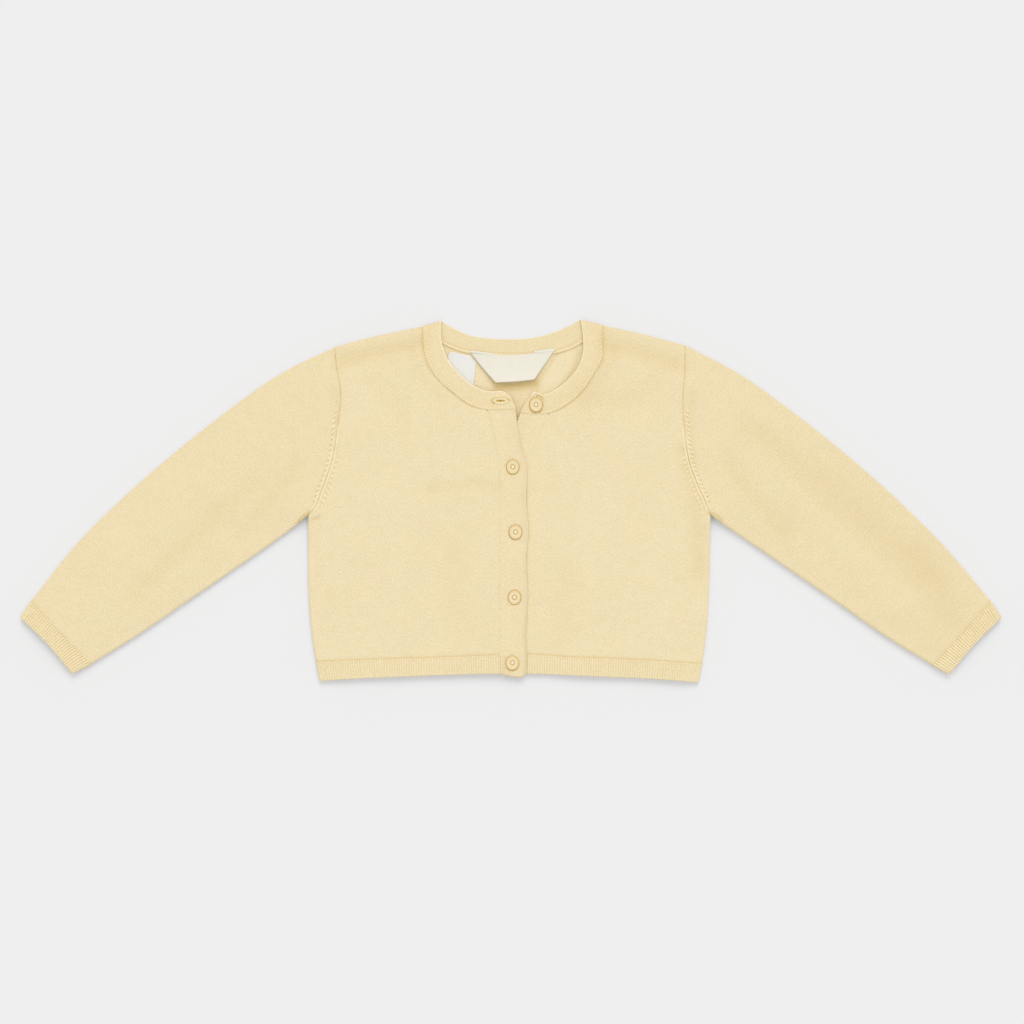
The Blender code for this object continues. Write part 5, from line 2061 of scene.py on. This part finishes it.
@dataclass
class Buttons:
    """Five turned buttons with a raised rim, a dished face and their sewing thread.

    The profile is a row of radii and heights over the underside. The first faces of it and
    the last are of thread. Rings are painted shade by their distance from the middle: at the
    rim's outer edge, faintly on the face and round the dished middle, beside the profile's turns.
    """

    room: Workroom
    sides: int = 72
    profile: Sequence[tuple[float, float]] = (
        (0.0, 1.62), (0.4, 1.58), (0.75, 1.46), (0.98, 1.28), (1.1, 1.02), (1.45, 0.84),
        (1.85, 0.80), (2.15, 0.92), (2.4, 1.06), (2.65, 1.18), (3.1, 1.20), (3.7, 1.20),
        (4.2, 1.22), (4.6, 1.26), (4.85, 1.28), (5.1, 1.26), (5.35, 1.20), (5.55, 1.10),
        (5.75, 0.98), (5.92, 0.84), (6.0, 0.66), (5.98, 0.48), (5.82, 0.26), (5.45, 0.09),
        (4.9, 0.02), (4.2, 0.0), (1.6, 0.0),
    )
    shank: float = 1.5
    thread_rings: tuple[int, int] = (4, 3)
    # Painted shade rings: depth, half width and radius.
    rings: Sequence[Bell] = (Bell(1.8, 0.36, 5.72), Bell(0.25, 0.4, 4.5), Bell(1.25, 0.45, 1.8))
    tilts: Sequence[tuple[float, float]] = (
        (0.03, -0.02), (0.0, 0.02), (-0.015, 0.0), (0.02, 0.015), (0.0, -0.02)
    )
    oval: tuple[float, float] = (0.90, 1.0)
    height: float = 2.6
    sunk: float = 0.70

    def build(self) -> None:
        """Each button at its own place, tilted a little as sewn buttons are."""
        for number, (spot, tilt) in enumerate(zip(BUTTON_SPOTS, self.tilts), 1):
            self.button(number, spot, tilt)

    def button(self, number: int, spot: Spot, tilt: tuple[float, float]) -> bpy.types.Object:
        """The profile turned round its axis, with a short shank down to the cloth.

        A point at radius r, height h and angle a is (ox r cos a, oy r sin a, h + r (tx cos a +
        ty sin a)) about the button's underside, ox and oy being the oval's two shares.
        """
        low, high = (corner[2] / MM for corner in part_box(f"button_{number}"))
        base = high - self.height - self.sunk
        profile = [*self.profile, (self.shank, low - base), (0.0, low - base)]
        radius, height = np.array(profile).T
        angle = np.linspace(0, 2 * math.pi, self.sides, endpoint=False)
        x = np.outer(radius, np.cos(angle)) * self.oval[0]
        y = np.outer(radius, np.sin(angle)) * self.oval[1]
        grid = np.dstack([x, y, height[:, None] + x * tilt[0] + y * tilt[1]])
        points = np.vstack([grid[1:-1].reshape(-1, 3), grid[0, :1], grid[-1, :1]])
        rings = closed_rings(len(grid) - 2, self.sides)
        top, foot = np.full(self.sides, len(points) - 2), np.full(self.sides, len(points) - 1)
        cap = np.stack([top, rings[0, :-1], rings[0, 1:]], axis=1)
        sole = np.stack([foot, rings[-1, 1:], rings[-1, :-1]], axis=1)
        faces = [*cap.tolist(), *quads(rings)[:, ::-1].tolist(), *sole.tolist()]
        slots = np.zeros(len(faces), np.int32)
        slots[: self.sides * self.thread_rings[0]] = 1
        slots[-self.sides * self.thread_rings[1] :] = 1
        made = mesh_object(
            f"sewn_button_{number}",
            points + (spot.x, spot.y, base) + self.room.shift,
            faces,
            [self.room.looks[Look.BUTTON], self.room.looks[Look.THREAD]],
            slots=slots,
            depth=summed(self.rings, np.linalg.norm(points[:, :2] / self.oval, axis=1)),
        )
        return self.room.dress(made, "button", f"button_{number}")


class Ribbon(NamedTuple):
    """A label: its patch, finish, thickness, and height by the shares of row and column."""

    name: str
    patch: Patch
    look: Look
    thickness: float
    height: Callable[[Array, Array], Array]


@dataclass
class Labels:
    """Two bare woven labels inside the back of the neck, and the wide one's turned ends."""

    room: Workroom
    cuts: tuple[int, int] = (31, 41)
    care_level: float = 2.1
    brand_level: float = 2.4
    brand_lift: float = 2.8

    def ribbons(self) -> list[Ribbon]:
        """The care label that hangs from the neckband, the wide one over it, and its turnings."""
        care = Patch(
            near=Line([(-51.5, 80.0), (-51.4, 98.0), (-51.0, 117.2), (-48.6, 120.4)]),
            far=Line([(-30.5, 80.0), (-29.6, 96.0), (-28.3, 111.9), (-33.4, 117.3)]),
            low=Line([(-51.5, 80.0), (-30.5, 80.0)]),
            high=Line([(-48.6, 120.4), (-33.4, 117.3)]),
        )
        brand = Patch(
            near=Line.through([(-12.6, 95.6), (-22.4, 106.6), (-32.6, 119.4)]),
            far=Line.through([(18.5, 98.0), (26.0, 109.0), (35.0, 121.7)]),
            low=Line.through([(-12.6, 95.6), (3.0, 96.4), (18.5, 98.0)]),
            high=Line.through([(-32.6, 119.4), (0.0, 117.4), (35.0, 121.7)]),
        )
        right = Patch.between(
            Line([(-32.9, 119.8), (-14.0, 116.9)]), Line([(-32.0, 121.6), (-13.9, 118.9)])
        )
        left = Patch.between(
            Line([(18.2, 118.9), (35.4, 121.4)]), Line([(18.0, 121.0), (35.8, 123.2)])
        )
        woven, turned = Look.BRAND_LABEL, self.turning_height
        return [
            Ribbon("care_label", care, Look.CARE_LABEL, 0.45, self.care_height),
            Ribbon("brand_label", brand, woven, 0.55, self.brand_height),
            Ribbon("label_turning_right", right, woven, 0.5, turned),
            Ribbon("label_turning_left", left, woven, 0.5, turned),
        ]

    def care_height(self, row: Array, column: Array) -> Array:
        """Nearly flat, with a slow wave down its length."""
        return self.care_level + 0.12 * np.sin(row * 7.0 + column * 1.2)

    def turning_height(self, row: Array, column: Array) -> Array:
        """Flat, just over the seam that it is caught in."""
        return self.brand_level + 0.25 + 0.1 * np.sin(column * 5.0)

    def brand_height(self, row: Array, column: Array) -> Array:
        """Sewn down along its top and lifting to its free edge as the square of the distance."""
        bow = 1 - 0.35 * (2 * column - 1) ** 2
        return self.brand_level + self.brand_lift * (1 - row) ** 2 * bow

    def build(self) -> None:
        care, brand, *turnings = self.ribbons()
        self.label(care, "care_label", "care_label")
        self.label(brand, "brand_label", "brand_label")
        ends = [self.label(turning, "brand_label") for turning in turnings]
        for ribbon, pieces in ((care, []), (brand, ends)):
            size, area = ribbon.patch.size(self.cuts[0]), ribbon.patch.area()
            self.room.declare(ribbon.name, size, area, "back_cloth", pieces)

    def label(self, ribbon: Ribbon, slot: str, *nodes: str) -> bpy.types.Object:
        """A thin wall over the patch."""
        shares = (np.linspace(0, 1, count) for count in self.cuts)
        rows, columns = np.meshgrid(*shares, indexing="ij")
        patch, plan = ribbon.patch, ribbon.patch.plan(rows, columns)
        outer = np.dstack([plan, ribbon.height(rows, columns)])
        beside = np.minimum(columns, 1 - columns) * patch.widths(rows[:, 0])[:, None]
        beyond = np.minimum(rows, 1 - rows) * patch.heights(columns[0])[None, :]
        wall = Wall(
            name=ribbon.name,
            outer=outer,
            normals=grid_normals(outer),
            cloth=plan,
            thickness=ribbon.thickness,
            edge=np.minimum(beside, beyond),
            round_reach=0.4,
            least=0.5,
        )
        return self.room.sew(wall, [ribbon.look], slot, *nodes)


class MarkRow(NamedTuple):
    """One cloth's marks beside the armhole, and the fine ridge along the seam.

    offset is the marks' distance from the seam at the foot and at the top of the row, between
    their lowest and highest place, scale their size against the sleeve's and slant the way
    that they turn. The ridge has its own distance from the seam and goes up to its top.
    """

    on: str
    offset: tuple[float, float]
    between: tuple[float, float]
    scale: float
    slant: int
    ridge: float
    ridge_top: float


@dataclass
class FashioningMarks:
    """The slanted stitches beside each armhole where the knit was narrowed."""

    room: Workroom
    half: HalfPlan
    slant: float = 42.0
    below: tuple[float, float] = (0.0, -0.75)
    ridge_pitch: float = 1.5
    painted_shadow_share: tuple[float, float, float] = (1.12, 1.1, 0.52)
    rows: Sequence[MarkRow] = (
        MarkRow("sleeve", (2.3, 3.3), (0.0, 73.0), 1.0, 1, 1.1, 52.0),
        MarkRow("front", (-4.7, -3.4), (-2.0, 38.0), 0.85, -1, -1.1, 60.0),
    )

    def __post_init__(self) -> None:
        """Draws the armhole. The right sleeve's marks are a little further apart."""
        self.line = Line.through(self.half.armhole).even()
        self.pitch = 4.3 if self.half is RIGHT else 3.7

    def build(self) -> list[list[bpy.types.Object]]:
        """On the sleeve and then on the front, a row of marks and a fine ridge along the seam."""
        made = [self.marks(row) for row in self.rows]
        return [[*marks, self.ridge(row)] for marks, row in zip(made, self.rows)]

    def ridge(self, row: MarkRow) -> bpy.types.Object:
        """Small loops end to end beside the lower part of the seam, up to a height, in a lighter yarn
        that is a painted highlight.
        """
        share = self.line.pitched(self.ridge_pitch, 4.0)
        share = share[self.line.at(share)[:, 1] < row.ridge_top]
        spots, run = self.line.beside(share, -self.half.side * row.ridge)
        level = self.room.form.top(spots, self.half.lean) - 0.02
        name = f"{row.on}_ridge_{self.half.name}"
        return self.room.laid_loops(name, Look.RIDGE, spots, level, run, (2.1, 0.9, 0.6))

    def marks(self, row: MarkRow) -> list[bpy.types.Object]:
        """Marks at an even pitch along the armhole, each a raised loop slanted from the seam.

        Args:
            row: Where they are.

        Returns:
            The row's loops, and the darker loops below them that are their painted shadows.
        """
        share = self.line.pitched(self.pitch, 0.4)
        height = self.line.at(share)[:, 1]
        low, high = row.between
        kept = (height > low) & (height < high)
        share, up_row = share[kept], (height[kept] - low) / (high - low)
        away = row.offset[0] + (row.offset[1] - row.offset[0]) * up_row
        spots, run = self.line.beside(share, -self.half.side * away)
        turn = math.radians(self.slant) * self.half.side * row.slant
        cos, sin = math.cos(turn), math.sin(turn)
        along = run @ np.array([[cos, sin], [-sin, cos]])
        level = self.room.form.top(spots, self.half.lean)
        length = (4.8 - 1.2 * up_row) * row.scale
        size = np.column_stack([length, np.full(len(spots), 1.45), np.full(len(spots), 1.1)])
        under, wide = spots + np.array(self.below) * row.scale, size * self.painted_shadow_share
        kinds = (
            ("marks", Look.STITCHING, spots, level + 0.08, size),
            # Painted shadows: wider, darker loops just below each mark.
            ("mark_painted_shadows", Look.HOLLOW, under, level - 0.05, wide),
        )
        return [
            self.room.laid_loops(f"{row.on}_{kind}_{self.half.name}", look, at, high, along, big)
            for kind, look, at, high, big in kinds
        ]


@dataclass
class Studio:
    """The pale floor, the soft light and the camera straight above."""

    view_width: float = 0.8182
    lens: float = 85.0
    sensor: float = 36.0
    middle: tuple[float, float] = (0.00045, -0.0087)
    floor_half: float = 3000.0
    floor_level: float = -0.2
    floor_tone: float = 0.863
    ambient: float = 0.81
    sun: float = 0.93
    sun_height: float = 40.0
    sun_turn: float = 8.0
    sun_angle: float = 35.0
    cool: tuple[float, float, float] = (0.0, 0.09, 0.30)

    def build(self) -> None:
        """Makes them all."""
        self.floor()
        self.sky()
        self.lamp()
        self.camera()

    def floor(self) -> None:
        """A wide square just under the garment.

        Its colour is tone x (1 + cool x occlusion): a painted bluish tint in the shade beside the
        garment, which takes back the warmth that the yellow cloth throws on the floor there.
        """
        corners = np.array([(-1, -1), (1, -1), (1, 1), (-1, 1)]) * self.floor_half
        points = np.column_stack([corners, np.full(4, self.floor_level)])
        material, graph, shader = dyed("floor_paint")
        factor = graph.line(graph.noise(graph.place(), 300.0), 0.006, 1.0)
        near = graph.node("AmbientOcclusion", {"Distance": 0.012}, samples=6)
        hidden = graph.math("SUBTRACT", 1.0, near.outputs["AO"])
        cooled = graph.vector("ADD", graph.scale(self.cool, hidden), (1.0, 1.0, 1.0))
        tone = graph.scale(cooled, graph.times(factor, self.floor_tone))
        graph.fill(shader, {"Base Color": tone, "Roughness": 0.9, "Specular IOR Level": 0.0})
        mesh_object("floor", points, [[0, 1, 2, 3]], [material])

    def sky(self) -> None:
        """An even white dome, shown to the camera in the floor's own tone."""
        world = bpy.data.worlds.new("studio")
        bpy.context.scene.world = world
        world.use_nodes = True
        graph, nodes = Graph(world.node_tree), world.node_tree.nodes
        white = {"Color": (1.0, 1.0, 1.0, 1.0), "Strength": self.ambient}
        dome = graph.fill(nodes["Background"], white)
        shown = graph.node("Background", {"Color": (*(self.floor_tone,) * 3, 1.0)})
        seen = graph.node("LightPath").outputs["Is Camera Ray"]
        mix = graph.node("MixShader", {0: seen, 1: dome.outputs[0], 2: shown.outputs[0]})
        graph.fill(nodes["World Output"], {"Surface": mix.outputs[0]})

    def lamp(self) -> None:
        """A broad soft lamp from behind the neck, a little to the wearer's left."""
        data = bpy.data.lights.new("window_light", "SUN")
        data.energy, data.angle = self.sun, math.radians(self.sun_angle)
        turn = math.radians(self.sun_turn)
        height = math.radians(90 - self.sun_height)
        linked("window_light", data).rotation_euler = (height, 0.0, math.pi - turn)

    def camera(self) -> None:
        """Straight above the middle of the garment, its top to the neck."""
        data = bpy.data.cameras.new("camera")
        data.lens, data.sensor_width = self.lens, self.sensor
        data.clip_start, data.clip_end = 0.05, 20.0
        camera = linked("camera", data)
        camera.location = (*self.middle, self.view_width * self.lens / self.sensor + 0.004)
        bpy.context.scene.camera = camera
        bpy.context.scene.view_settings.view_transform = "Standard"


def main() -> None:
    """Builds the studio and then the garment, piece by piece."""
    logging.basicConfig(level=logging.INFO, format="%(name)s: %(message)s")
    Studio().build()
    room = Workroom.open()
    back = back_panel(room)
    back.build()
    back.declare("floor", [neck_seam_stitches(room)])
    for strip in (hem_strip(room), neck_strip(room)):
        strip.build()
        strip.declare("floor back_cloth")
    for half in HALVES:
        on_sleeve, on_front = FashioningMarks(room, half).build()
        front = front_panel(room, half)
        front.build()
        front.declare("back_cloth", on_front)
        sleeve, cuff = sleeve_tube(room, half), cuff_tube(room, half)
        sleeve.build()
        sleeve.declare("floor", on_sleeve)
        cuff.build()
        cuff.declare("floor", [cuff.heads])
    for half, lies_on in ((LEFT, "back_cloth"), (RIGHT, "band_left_cloth")):
        band = FrontBand(room, half)
        band.build()
        band.declare(lies_on)
    Buttons(room).build()
    Labels(room).build()


if __name__ == "__main__":
    main()
